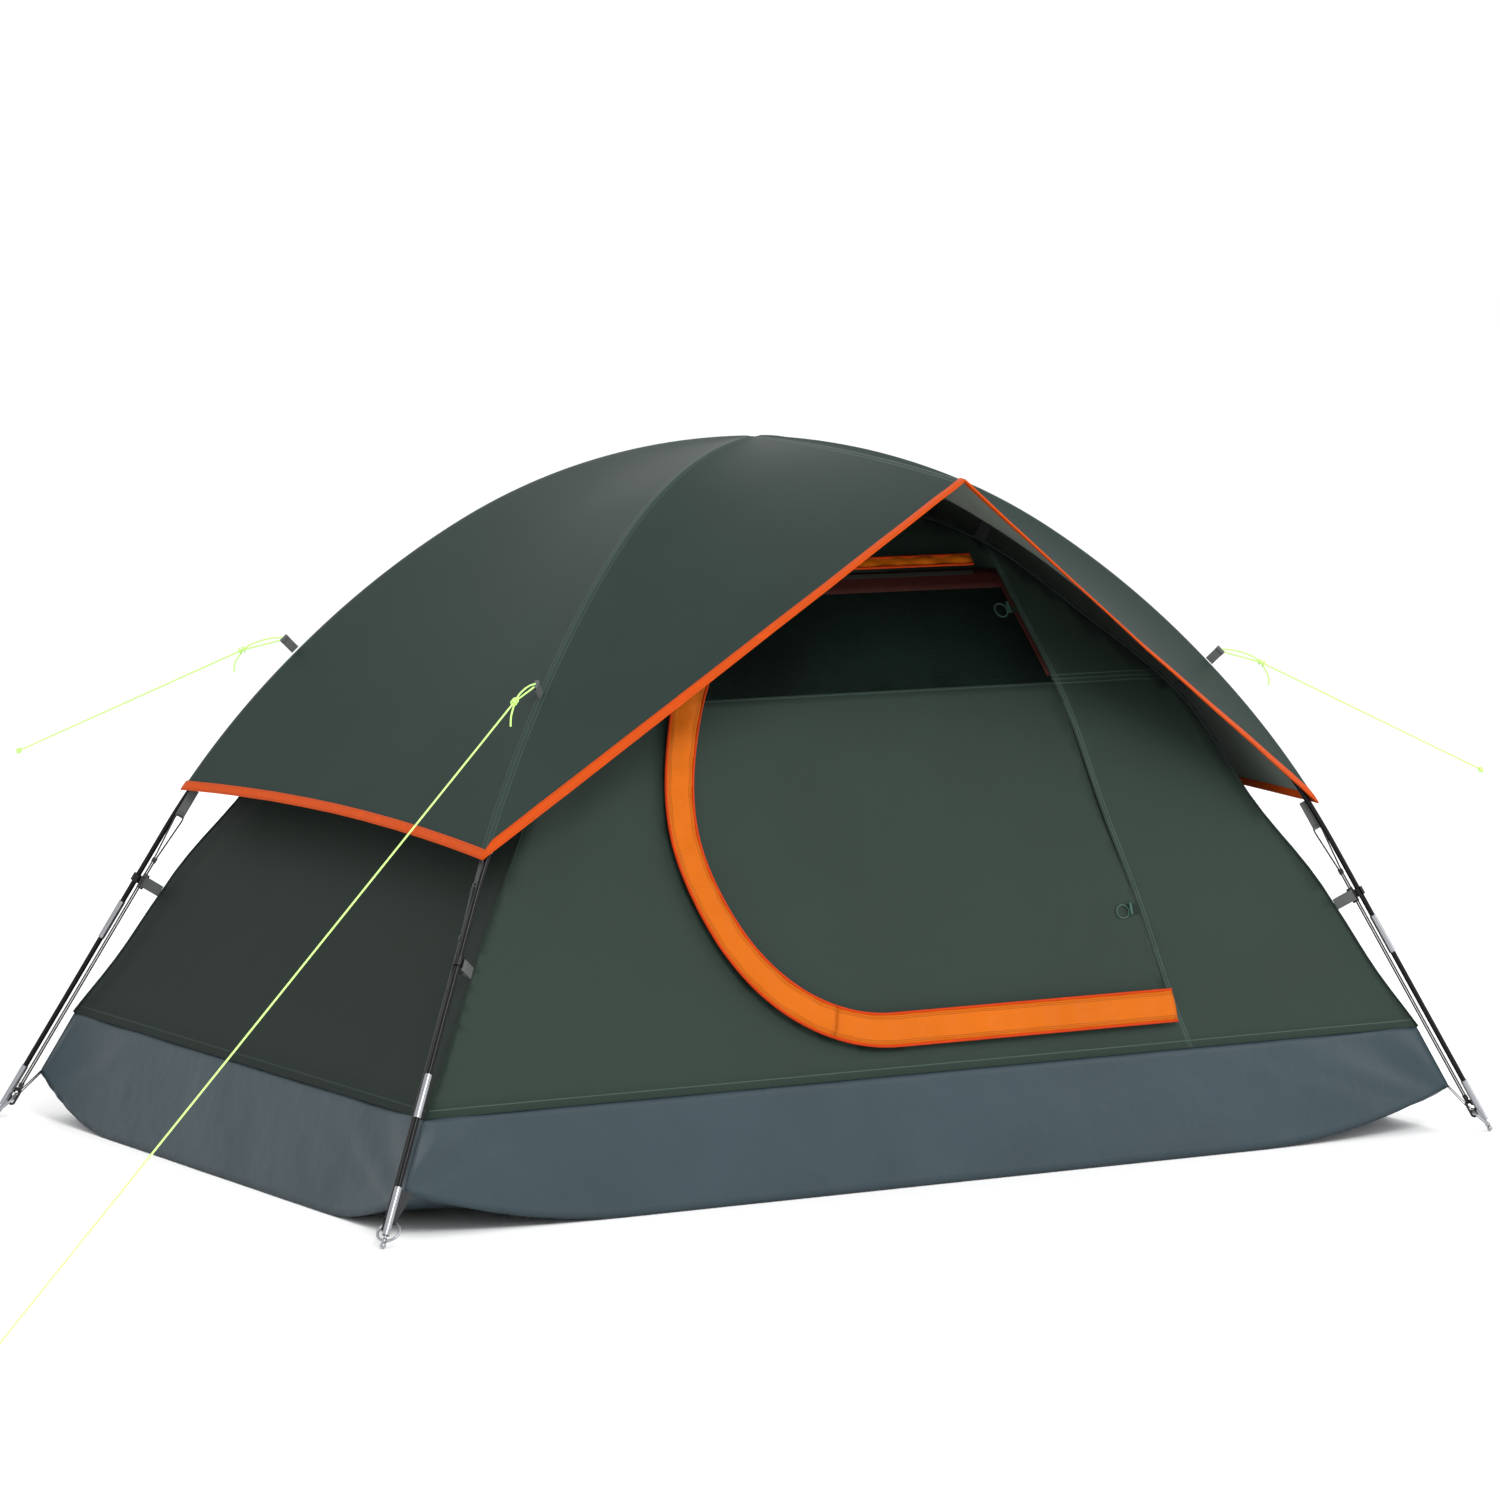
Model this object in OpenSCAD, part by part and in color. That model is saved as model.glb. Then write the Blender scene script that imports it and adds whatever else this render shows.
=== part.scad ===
/* [Tent] */
// Distance between the pole feet along the long side
foot_span_x = 2260; // [1900:10:2700]
// Distance between the pole feet along the short side
foot_span_y = 1380; // [1150:10:1650]
// Height of the pole crossing above the ground
peak_h = 1203; // [1040:1:1440]
// Slope of the straight foot of each pole
foot_slope = 60; // [58:1:62]
// Slope at which the tight crown of each pole ends
crown_slope = 32; // [28:1:36]
// Length of the straight foot of each pole
foot_len = 566; // [470:1:680]

/* [Poles] */
// Outer diameter of the fibreglass rods
rod_d = 9.5; // [8.5:0.1:11.4]
// Bore of the fibreglass rods
rod_bore = 5; // [4:0.1:6]
// Outer diameter of the steel ferrules and end tubes
ferrule_d = 12; // [11.9:0.1:13]
// Length of each ferrule
ferrule_len = 75; // [50:1:90]
// Length of each steel end tube
end_tube_len = 82; // [60:1:90]
// Length of the end sections of the lower of the two crossing poles
under_end_len = 239; // [180:1:300]
// Length of the end sections of the upper of the two crossing poles
over_end_len = 387; // [300:1:450]
// Diameter of the elastic cord inside the poles
shock_cord_d = 2.5; // [2:0.1:3]

/* [Feet] */
// Height of the pole ends above the ground
foot_h = 20; // [18:1:26]
// Diameter of the ball at the end of each foot pin
ball_d = 10; // [8:0.5:12]
// Diameter of the foot pin
pin_d = 5; // [4:0.5:6]
// Diameter of the ring's wire
ring_wire_d = 4.4; // [4:0.1:5]
// Diameter of the ring on its wire's centre line
ring_d = 38; // [36:1:42]
// Slope of the ring's plane
ring_slope = 40; // [36:1:42]

/* [Inner tent] */
// Height of the floor tub's wall
tub_h = 188; // [150:1:230]
// Length of the floor on the ground
floor_x = 2150; // [1800:10:2600]
// Width of the floor on the ground
floor_y = 1310; // [1080:10:1580]
// Height of the floor's gathered corners
corner_lift = 80; // [60:1:95]
// Thickness of the fabric
fabric_t = 2; // [1:0.1:2.5]
// Thickness of the floor tub
tub_t = 3; // [2.6:0.1:4]
// Gap between the pole and the inner tent at the crown
crown_gap = 60; // [50:1:80]
// Gap between the pole and the inner tent at the floor tub's seam
seam_gap = 24; // [20:1:30]
// Distance along the pole from its crown to the first strap
strap_1_s = 440; // [360:1:520]
// Distance along the pole from its crown to the second strap
strap_2_s = 906; // [760:1:1060]
// Distance along the pole from its crown to the clip
clip_s = 1400; // [1340:1:1480]
// Width of the webbing
webbing_w = 20; // [15:1:25]
// Thickness of the webbing
webbing_t = 1.6; // [1:0.1:2]

/* [Door] */
// Left-most reach of the door
door_left = 467; // [380:1:520]
// Height of the door's lower edge
door_low = 232; // [225:1:260]
// Height of the door's upper edge
door_top = 1020; // [980:1:1030]
// Height at which the door is widest
door_mid = 605; // [560:1:650]
// Height of the seam between the door's fabric and its mesh
mesh_low = 812; // [780:1:850]
// Distance of the hinge seam from the middle of the wall at the door's top
hinge_top_x = 342; // [320:1:360]
// Lean of the hinge seam
hinge_lean = 0.2; // [0.1:0.01:0.25]
// Width of the zip flap
flap_w = 52; // [42:1:62]
// Clear space between the wall and the zip flap
flap_rise = 12; // [11:0.5:16]
// Distance of the zip from the flap's outer edge
zip_in = 24; // [22:1:26]
// Width of the zip's coil
zip_w = 6; // [5:0.5:7]

/* [Fly] */
// Distance along the pole from its crown to the fly's corner
fly_s = 1225; // [1000:1:1290]
// Reach of the brow in front of the crown
brow_reach = 645; // [540:1:720]
// Drop of the brow's tip below the crown
brow_drop = 35; // [20:1:60]
// Clearance of the fly over the pole's centre line at its corners
fly_gap = 14; // [12:0.5:17]
// Width of the hem's binding
hem_w = 17; // [12:1:22]
// Thickness of the hem's binding
hem_t = 3.4; // [2.5:0.1:4]
// Rise of the end hems at their middle
end_arch = 18; // [0:1:40]
// Rise of the back hem at its middle
back_arch = 60; // [0:1:90]
// Diameter of the brow's rod
brow_rod_d = 8; // [6:0.5:9]
// Diameter of the elastic cords at the fly's corners
elastic_d = 3; // [2.5:0.1:3.5]
// Diameter of the guy lines
guy_d = 3; // [2:0.5:4]

/* [Hidden] */
$fn = 40;

fit = 0.1;
ferrule_fit = 0.3;
clear = 0.5;
edge = 3;
half_x = foot_span_x / 2;
half_y = foot_span_y / 2;
diagonal = norm([half_x, half_y]);
kx = half_x / diagonal;
ky = half_y / diagonal;
azimuth = atan2(half_y, half_x);
rod_r = rod_d / 2;
ferrule_r = max(ferrule_d / 2, rod_r + ferrule_fit + 0.8);
cross_rise = (rod_r + ferrule_r) / 2 + 0.9;
crown_rise = cross_rise + ferrule_r + clear + brow_rod_d + 2.6 + fabric_t + 0.6;

// A pole is three tangent stretches: a crown arc, a shoulder arc and a straight foot.
function rad(a) = a * PI / 180;
function radii(h) =
    let (
        a1 = sin(crown_slope),
        b1 = sin(foot_slope) - sin(crown_slope),
        c1 = diagonal - foot_len * cos(foot_slope),
        a2 = 1 - cos(crown_slope),
        b2 = cos(crown_slope) - cos(foot_slope),
        c2 = h - foot_h - foot_len * sin(foot_slope),
        d = a1 * b2 - a2 * b1
    )
    [(c1 * b2 - c2 * b1) / d, (a1 * c2 - a2 * c1) / d];
function crown_len(h) = radii(h)[0] * rad(crown_slope);
function bent_len(h) = crown_len(h) + radii(h)[1] * rad(foot_slope - crown_slope);
function pole_len(h) = bent_len(h) + foot_len;
function slope(s, h = peak_h) =
    s < crown_len(h) ? s / radii(h)[0] * 180 / PI
    : s < bent_len(h) ? crown_slope + (s - crown_len(h)) / radii(h)[1] * 180 / PI
    : foot_slope;
function shoulder_centre(h) =
    [0, h - radii(h)[0]] + (radii(h)[0] - radii(h)[1]) * [sin(crown_slope), cos(crown_slope)];
function pole_at(s, h = peak_h) =
    let (t = slope(s, h))
    s < crown_len(h) ? [radii(h)[0] * sin(t), h - radii(h)[0] * (1 - cos(t))]
    : s < bent_len(h) ? shoulder_centre(h) + radii(h)[1] * [sin(t), cos(t)]
    : [diagonal, foot_h] - (pole_len(h) - s) * [cos(t), -sin(t)];
// A point at a distance outside the pole's centre line, square to the pole
function beside(s, out) = pole_at(s) + out * [sin(slope(s)), cos(slope(s))];

full_s = pole_len(peak_h);
under_h = peak_h - cross_rise;
over_h = peak_h + cross_rise;

// The inner tent's corner hangs below the pole and hollows a little between its straps.
seam_s = full_s - tub_h / sin(foot_slope) + foot_h / sin(foot_slope);
hung = [[0, crown_gap, 4], [strap_1_s, crown_gap + 1, 10], [strap_2_s, crown_gap + 2, 24],
    [clip_s, 52, 5], [seam_s, seam_gap, 0]];
function hollow(s, i = 0) =
    i > len(hung) - 2 ? seam_gap
    : s <= hung[i + 1][0]
        ? let (q = (s - hung[i][0]) / (hung[i + 1][0] - hung[i][0]))
            hung[i][1] + (hung[i + 1][1] - hung[i][1]) * q + hung[i][2] * pow(sin(180 * q), 2)
        : hollow(s, i + 1);
inner_line = [for (s = [0:20:full_s]) let (p = beside(s, -hollow(s))) [p[1], p[0]]];
function inner_r(z) = lookup(z, inner_line);
wall_top = pole_at(0)[1] - crown_gap - 6;

function fly_out(s) = fly_gap + (crown_rise - fly_gap) * pow(max(0, 1 - s / 900), 1);
fly_line = [for (s = [0:25:fly_s + 60]) let (p = beside(s, fly_out(s))) [p[1], p[0]]];
function fly_r(z) = lookup(z, fly_line);
fly_low = beside(fly_s, fly_gap)[1];
fly_top = beside(12, fly_out(12))[1];

// Lean of a wall that follows a corner line, as the sine of its outward tilt's tangent
function fall(z, line) = (lookup(z - 4, line) - lookup(z + 4, line)) / 8;
function front_pt(x, z, out, line) =
    let (m = ky * fall(z, line), n = norm([1, m]))
    [x, -ky * lookup(z, line) - out / n, z + out * m / n];
function end_pt(y, z, out, line) =
    let (m = kx * fall(z, line), n = norm([1, m]))
    [kx * lookup(z, line) + out / n, y, z + out * m / n];
function wall_tilt(z) = atan(ky * fall(z, inner_line));

function mix(a, b, t) = a + (b - a) * t;
function steps(a, b, n) = [for (i = [0:n]) mix(a, b, i / n)];
function unit(v) = v / norm(v);
function clamp(i, n) = min(max(i, 0), n);

// A closed sheet of even thickness about a grid of points, with rows from top to bottom
// and each row from left to right as seen from outside
function grid_normal(g, i, j) =
    let (n = len(g) - 1, m = len(g[0]) - 1)
    unit(cross(
        g[clamp(i + 1, n)][j] - g[clamp(i - 1, n)][j],
        g[i][clamp(j + 1, m)] - g[i][clamp(j - 1, m)]
    ));
module sheet(g, t) {
    rows = len(g);
    cols = len(g[0]);
    all = rows * cols;
    points = [
        for (side = [0.5, -0.5])
            for (i = [0:rows - 1])
                for (j = [0:cols - 1])
                    g[i][j] + side * t * grid_normal(g, i, j)
    ];
    skin = [
        for (i = [0:rows - 2])
            for (j = [0:cols - 2])
                let (a = i * cols + j, b = a + 1, c = a + cols + 1, d = a + cols)
                for (f = [[a, b, c], [a, c, d]])
                    f
    ];
    back = [for (f = skin) [f[2] + all, f[1] + all, f[0] + all]];
    rim = concat(
        [for (j = [0:cols - 1]) j],
        [for (i = [1:rows - 1]) i * cols + cols - 1],
        [for (j = [cols - 2:-1:0]) (rows - 1) * cols + j],
        [for (i = [rows - 2:-1:1]) i * cols]
    );
    side_faces = [
        for (k = [0:len(rim) - 1])
            let (a = rim[k], b = rim[(k + 1) % len(rim)])
            for (f = [[b, a, a + all], [b, a + all, b + all]])
                f
    ];
    polyhedron(concat(points), concat(skin, back, side_faces), convexity = 8);
}

// A solid round cord along a path, and a hollow one
tube_sides = 8;
rod_sides = 12;
function path_dir(p, i) = unit(p[clamp(i + 1, len(p) - 1)] - p[clamp(i - 1, len(p) - 1)]);
function tube_points(path, r, n, aside) = [
    for (i = [0:len(path) - 1])
        let (d = path_dir(path, i), side = unit(cross(d, aside)), up = cross(side, d))
        for (k = [0:n - 1])
            path[i] + r * (cos(360 * k / n) * side + sin(360 * k / n) * up)
];
function tube_walls(rings, n) = [
    for (i = [0:rings - 2])
        for (k = [0:n - 1])
            let (a = i * n + k, b = i * n + (k + 1) % n)
            for (f = [[a, b, b + n], [a, b + n, a + n]])
                f
];
module tube(path, r, aside = [0.01, 0.02, 1]) {
    n = tube_sides;
    points = tube_points(path, r, n, aside);
    walls = tube_walls(len(path), n);
    last = (len(path) - 1) * n;
    caps = [[for (k = [n - 1:-1:0]) k], [for (k = [0:n - 1]) last + k]];
    polyhedron(points, concat(walls, caps), convexity = 4);
}
module hollow_tube(path, ro, ri) {
    n = rod_sides;
    last = (len(path) - 1) * n;
    inner = len(path) * n;
    walls = tube_walls(len(path), n);
    bore = [for (f = walls) [f[2] + inner, f[1] + inner, f[0] + inner]];
    ends = [
        for (k = [0:n - 1])
            let (a = k, b = (k + 1) % n)
            for (f = [[b, a, a + inner], [b, a + inner, b + inner],
                [last + a, last + b, last + b + inner], [last + a, last + b + inner, last + a + inner]])
                f
    ];
    points = concat(tube_points(path, ro, n, [0, 1, 0]), tube_points(path, ri, n, [0, 1, 0]));
    polyhedron(points, concat(walls, bore, ends), convexity = 6);
}

// ---------- poles ----------
module ring_profile(x, ro, ri) {
    translate([x, 0])
        difference() {
            circle(r = ro);
            if (ri > 0) circle(r = ri);
        }
}
module pole_arc(centre, r, t0, t1, ro, ri) {
    translate([centre[0], 0, centre[1]])
        rotate([90, 0, 0])
            rotate([0, 0, 90 - t1])
                rotate_extrude(angle = t1 - t0, $fn = 96)
                    ring_profile(r, ro, ri);
}
function joints_at(end, count, h) = steps(end - pole_len(h), pole_len(h) - end, count);
under_joints = joints_at(under_end_len, 7, under_h);
over_joints = joints_at(over_end_len, 6, over_h);
tube_seat = 22;
function pole_pt(s, h) = let (p = pole_at(abs(s), h)) [s < 0 ? -p[0] : p[0], 0, p[1]];
function pole_path(s0, s1, n, h) = [for (s = steps(s0, s1, n)) pole_pt(s, h)];
// A rod's path has short steps inside the ferrules at its ends
rod_in = 19;
function rod_path(s0, s1, h) = concat(
    [pole_pt(s0, h), pole_pt(s0 + rod_in, h)],
    pole_path(s0 + 2 * rod_in, s1 - 2 * rod_in, 10, h),
    [pole_pt(s1 - rod_in, h), pole_pt(s1, h)]
);
module pole_rods(stops, h) {
    rod_end = pole_len(h) - tube_seat;
    ends = concat([-rod_end], stops, [rod_end]);
    for (i = [0:len(ends) - 2])
        hollow_tube(rod_path(ends[i] + clear / 2, ends[i + 1] - clear / 2, h), rod_r, rod_bore / 2);
}
module on_pole_plane(over) {
    rotate([0, 0, over ? -azimuth : azimuth]) children();
}
module under_pole_rods() {
    color("#161719") on_pole_plane(false) pole_rods(under_joints, under_h);
}
module over_pole_rods() {
    color("#161719") on_pole_plane(true) pole_rods(over_joints, over_h);
}
// A ferrule bends with the rods it joins, or is straight on the pole's straight foot.
module ferrules(stops, h) {
    for (s = stops) {
        a = abs(s);
        crown = a < crown_len(h);
        centre = crown ? [0, h - radii(h)[0]] : shoulder_centre(h);
        r = crown ? radii(h)[0] : radii(h)[1];
        half = ferrule_len / 2 / r * 180 / PI;
        rotate([0, 0, s < 0 ? 180 : 0])
            if (a < bent_len(h))
                pole_arc(centre, r, slope(a, h) - half, slope(a, h) + half, ferrule_r, rod_r + ferrule_fit);
            else
                at_pole(a, h)
                    difference() {
                        cylinder(h = ferrule_len, r = ferrule_r, center = true);
                        cylinder(h = ferrule_len + 2, r = rod_r + ferrule_fit, center = true);
                    }
    }
}
module pole_ferrules() {
    color("#c9ced2") {
        on_pole_plane(false) ferrules(under_joints, under_h);
        on_pole_plane(true) ferrules(over_joints, over_h);
    }
}
module pole_shock_cords() {
    reach = pole_len(peak_h) - 60;
    color("#202124") {
        on_pole_plane(false) tube(pole_path(-reach, reach, 38, under_h), shock_cord_d / 2);
        on_pole_plane(true) tube(pole_path(-reach, reach, 38, over_h), shock_cord_d / 2);
    }
}

// ---------- corners ----------
// Local frames: along +X outwards on the pole's plane, then at the pole's end with +Z down the pole
module corner(sx, sy) {
    mirror([sx < 0 ? 1 : 0, 0, 0])
        mirror([0, sy > 0 ? 1 : 0, 0])
            rotate([0, 0, -azimuth])
                children();
}
module each_corner() {
    for (sx = [-1, 1])
        for (sy = [-1, 1])
            corner(sx, sy) children();
}
module at_pole(s, h = peak_h) {
    translate([pole_at(s, h)[0], 0, pole_at(s, h)[1]])
        rotate([0, 90 + slope(s, h), 0])
            children();
}
module at_foot() {
    translate([diagonal, 0, foot_h]) rotate([0, 90 + foot_slope, 0]) children();
}
module pole_end_tubes() {
    color("#d5d9dc")
        each_corner()
            at_foot()
                translate([0, 0, -end_tube_len])
                    difference() {
                        cylinder(h = end_tube_len, r = ferrule_r);
                        translate([0, 0, -1]) cylinder(h = end_tube_len + 2, r = rod_r + ferrule_fit);
                    }
}
eye_r = 5;
ball_r = ball_d / 2;
ball_at = (foot_h - ball_r) / sin(foot_slope);
eye_at = ball_at - 8;
ring_wire_r = ring_wire_d / 2;
eye_pt = [diagonal + eye_at * cos(foot_slope), foot_h - eye_at * sin(foot_slope)];
ring_dir = [-cos(ring_slope), sin(ring_slope)];
ring_centre = eye_pt + ring_d / 2 * ring_dir;
module foot_pins() {
    color("#c4c8cb")
        each_corner()
            difference() {
                at_foot() {
                    translate([0, 0, -tube_seat + 2]) cylinder(h = tube_seat - 2 + ball_at, r = pin_d / 2);
                    translate([0, 0, eye_at]) sphere(r = eye_r);
                    translate([0, 0, ball_at]) sphere(r = ball_r);
                }
                translate([eye_pt[0], 0, eye_pt[1]])
                    rotate([90, 0, 0])
                        cylinder(h = 4 * eye_r, r = ring_wire_r + 1, center = true);
            }
}
module ring(sx, sy) {
    color("#d0d3d6")
        corner(sx, sy)
            translate([ring_centre[0], 0, ring_centre[1]])
                rotate([0, ring_slope, 0])
                    rotate_extrude($fn = 72)
                        translate([ring_d / 2, 0]) circle(r = ring_wire_r);
}
far_pt = eye_pt + ring_d * ring_dir;
gather_pt = [min(floor_x / 2 / kx, diagonal - 60), corner_lift];
loop_r = ring_wire_r + 0.9;
module corner_webbing() {
    along = unit(gather_pt - far_pt);
    start = far_pt + (loop_r + webbing_t) * along;
    color("#4a4b4e")
        each_corner() {
            translate([far_pt[0], 0, far_pt[1]])
                rotate([90, 0, 0])
                    difference() {
                        cylinder(h = 9, r = loop_r + webbing_t, center = true);
                        cylinder(h = 10, r = loop_r, center = true);
                    }
            translate([start[0], 0, start[1]])
                rotate([0, -atan2(along[1], along[0]), 0])
                    translate([-webbing_t / 2, -webbing_w / 2, -webbing_t / 2])
                        cube([norm(gather_pt - start) + webbing_t / 2 - 6, webbing_w, webbing_t]);
        }
}

// Clip that hooks the inner tent's webbing to the pole
clip_r = rod_r + 0.35;
clip_wall = 3.2;
clip_w = webbing_w + 8;
module clip(sx, sy) {
    color("#17181a")
        corner(sx, sy)
            at_pole(clip_s) {
                difference() {
                    cylinder(h = 14, r = clip_r + clip_wall, center = true);
                    cylinder(h = 16, r = clip_r, center = true);
                    translate([-4, -clip_r - 5, -9]) cube([5, clip_r + 5, 18]);
                }
                translate([clip_r + clip_wall - 0.8, -2, -clip_w / 2])
                    difference() {
                        cube([12, 4, clip_w]);
                        translate([3.5, -1, 3]) cube([5, 6, clip_w - 6]);
                    }
            }
}
tab_from = clip_r + clip_wall - 0.8 + 12;
module clip_tab(sx, sy) {
    reach = hollow(clip_s) - fabric_t - 2;
    color("#7b7e80")
        corner(sx, sy)
            at_pole(clip_s) {
                for (side = [-1, 1])
                    translate([tab_from - 8, side * 3.2 - webbing_t / 2, -webbing_w / 2])
                        cube([reach - tab_from + 8, webbing_t, webbing_w]);
                translate([tab_from - 8, -3.2, -webbing_w / 2])
                    cube([webbing_t, 6.4, webbing_w]);
                translate([reach - 6, -3.2, -webbing_w / 2])
                    cube([6, 6.4, webbing_w]);
            }
}
// Loops of webbing that hold the inner tent up to the poles
strap_r = rod_r + 0.8;
module strap(s, h) {
    reach = hollow(s) + (h - peak_h) * cos(slope(s)) * (1 - s / full_s) - fabric_t - 2;
    at_pole(s, h) {
        difference() {
            cylinder(h = webbing_w, r = strap_r + webbing_t, center = true);
            cylinder(h = webbing_w + 2, r = strap_r, center = true);
        }
        translate([strap_r + webbing_t / 2, -webbing_t, -webbing_w / 2])
            cube([reach - strap_r - webbing_t / 2, 2 * webbing_t, webbing_w]);
    }
}
module pole_straps() {
    color("#141517")
        for (sx = [-1, 1])
            for (sy = [-1, 1])
                corner(sx, sy)
                    for (s = [strap_1_s, strap_2_s])
                        strap(s, sx * sy < 0 ? over_h : under_h);
}
module apex_tie() {
    top = under_h - rod_r - clear;
    low = wall_top + 3;
    color("#141517") {
        translate([0, 0, low]) cylinder(h = 1.6, r = 44);
        translate([-webbing_w / 2, -webbing_t / 2, low]) cube([webbing_w, webbing_t, top - low]);
    }
}

// ---------- brow ----------
brow_bend = brow_reach * brow_reach / (2 * brow_drop);
rod_axis_h = over_h + ferrule_r + clear + brow_rod_d / 2;
brow_axis_r = brow_bend - (brow_rod_d / 2 + clear + fabric_t / 2 + 2.7);
ridge_h = rod_axis_h + brow_bend - brow_axis_r;
function ridge_pt(y) = [0, -y, ridge_h - y * y / (2 * brow_bend)];
module brow_arc(y0, y1, ro, ri) {
    a0 = asin(y0 / brow_axis_r);
    a1 = asin(y1 / brow_axis_r);
    translate([0, 0, rod_axis_h - brow_axis_r])
        rotate([0, 0, -90])
            rotate([90, 0, 0])
                rotate([0, 0, 90 - a1])
                    rotate_extrude(angle = a1 - a0, $fn = 720)
                        ring_profile(brow_axis_r, ro, ri);
}
brow_rod_end = brow_reach - hem_w - 6;
module brow_rod() {
    color("#161719") brow_arc(-16, brow_rod_end, brow_rod_d / 2, 0);
}
module brow_rod_pockets() {
    pocket_r = brow_rod_d / 2 + fit;
    color("#33403a") {
        brow_arc(14, 40, pocket_r + 0.7, pocket_r);
        brow_arc(brow_rod_end - 60, brow_rod_end, pocket_r + 0.7, pocket_r);
    }
}

// ---------- fly ----------
fly_rows = 14;
hem_rise = hem_w + 1;
function hem_low(u, arch) = fly_low + arch * 4 * u * (1 - u);
function end_grid(z0, off0, off1, rows) = [
    for (v = steps(0, 1, rows)) [
        for (u = steps(0, 1, 8))
            let (
                low = hem_low(u, end_arch) + off1,
                top = z0 == 0 ? low + off0 : z0,
                z = mix(top, low, v),
                reach = ky * fly_r(z) - edge
            )
            end_pt(mix(-reach, reach, u), z, 0, fly_line)
    ]
];
function back_grid(z0, off0, off1, rows) = [
    for (v = steps(0, 1, rows)) [
        for (u = steps(0, 1, 8))
            let (
                low = hem_low(u, back_arch) + off1,
                top = z0 == 0 ? low + off0 : z0,
                z = mix(top, low, v),
                reach = kx * fly_r(z) - edge
            )
            front_pt(mix(-reach, reach, u), z, 0, fly_line)
    ]
];
// Each half of the front runs in straight lines from the pole's ridge to the brow's ridge.
function front_edge(v) =
    let (s = 12 + (fly_s - 12) * v, p = beside(s, fly_out(s)))
    [kx * p[0], -ky * p[0], p[1]];
function brow_edge(v) = ridge_pt(6 + (brow_reach - 6) * v);
function front_grid(v0, v1, rows) = [
    for (v = steps(v0, v1, rows))
        let (
            a = brow_edge(v),
            b = front_edge(v),
            skip = min(0.3, edge / norm(b - a))
        )
        [for (u = steps(skip, 1 - skip, 8)) mix(a, b, u)]
];
hem_share = hem_rise / (fly_s - 12) * 1.18;
module fly_end_panel() {
    color("#3c4742") sheet(end_grid(fly_top, 0, hem_rise, fly_rows), fabric_t);
}
module fly_right_panel() {
    fly_end_panel();
}
module fly_left_panel() {
    mirror([1, 0, 0]) fly_end_panel();
}
module fly_back_panel() {
    color("#3c4742")
        mirror([0, 1, 0]) sheet(back_grid(fly_top, 0, hem_rise, fly_rows), fabric_t);
}
module fly_front_right_panel() {
    color("#3c4742") sheet(front_grid(0, 1 - hem_share, fly_rows), fabric_t);
}
module fly_front_left_panel() {
    mirror([1, 0, 0]) fly_front_right_panel();
}
module fly_hem() {
    color("#e2560f") {
        for (side = [0, 1])
            mirror([side, 0, 0]) {
                sheet(end_grid(0, hem_w, 0, 1), hem_t);
                sheet(front_grid(1 - hem_share * hem_w / hem_rise, 1, 1), hem_t);
            }
        mirror([0, 1, 0]) sheet(back_grid(0, hem_w, 0, 1), hem_t);
    }
}
tab_out = 27;
tab_hole_r = guy_d / 2 + 1.6;
module guy_tabs() {
    from = fly_out(strap_2_s) + fabric_t / 2 + 0.4;
    color("#707376")
        each_corner()
            at_pole(strap_2_s) {
                translate([-from - tab_out + tab_hole_r, -webbing_t, -webbing_w / 2])
                    cube([tab_out - tab_hole_r, 2 * webbing_t, webbing_w]);
                translate([-from - tab_out, 0, 0])
                    difference() {
                        cylinder(h = webbing_w, r = tab_hole_r + webbing_t, center = true);
                        cylinder(h = webbing_w + 2, r = tab_hole_r, center = true);
                    }
            }
}

// ---------- elastic cords of the fly's corners ----------
elastic_r = elastic_d / 2;
ring_turn = 45;
ring_in = [sin(foot_slope - ring_slope), -cos(foot_slope - ring_slope)];
eye_local = [0, eye_at];
hook_xz = eye_local + ring_d / 2 * (1 + cos(ring_turn)) * ring_in;
hook_y = ring_d / 2 * sin(ring_turn);
cord_y = hook_y;
cord_x = hook_xz[0];
corner_z = fly_s - full_s;
bight_z = corner_z + 38;
knot_z = corner_z + 130;
hook_top = -20;
hook_low = ring_wire_r + 5.4;
module fly_corner_loops() {
    color("#8a8d8f")
        each_corner()
            at_foot() {
                translate([-1, cord_y - 4, corner_z - 12])
                    cube([cord_x + 5, webbing_t, 12 + 34]);
                translate([cord_x, cord_y, bight_z])
                    rotate([0, 90, 0])
                        difference() {
                            cylinder(h = 6, r = elastic_r + 0.5 + webbing_t, center = true);
                            cylinder(h = 8, r = elastic_r + 0.5, center = true);
                        }
            }
}
strand = elastic_r + 0.3;
module bead(r) {
    difference() {
        sphere(r = r);
        cylinder(h = 3 * r, r = strand + elastic_r + 0.15, center = true);
    }
}
module elastic(sx, sy) {
    end_z = hook_xz[1] + hook_top - 4;
    half = [[strand, end_z], [strand, knot_z + 5], [strand, knot_z - 5], [7, bight_z + 8], [6, bight_z + 1],
        [3, bight_z]];
    path = concat(
        [for (p = half) [-p[0], 0, p[1]]],
        [for (i = [len(half) - 1:-1:0]) [half[i][0], 0, half[i][1]]]
    );
    color("#0f1012")
        corner(sx, sy)
            at_foot()
                translate([cord_x, cord_y, 0]) {
                    tube(path, elastic_r, [0, 1, 0]);
                    translate([0, 0, knot_z]) bead(4.8);
                    translate([0, 0, end_z - 5]) bead(4.4);
                }
}
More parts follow.
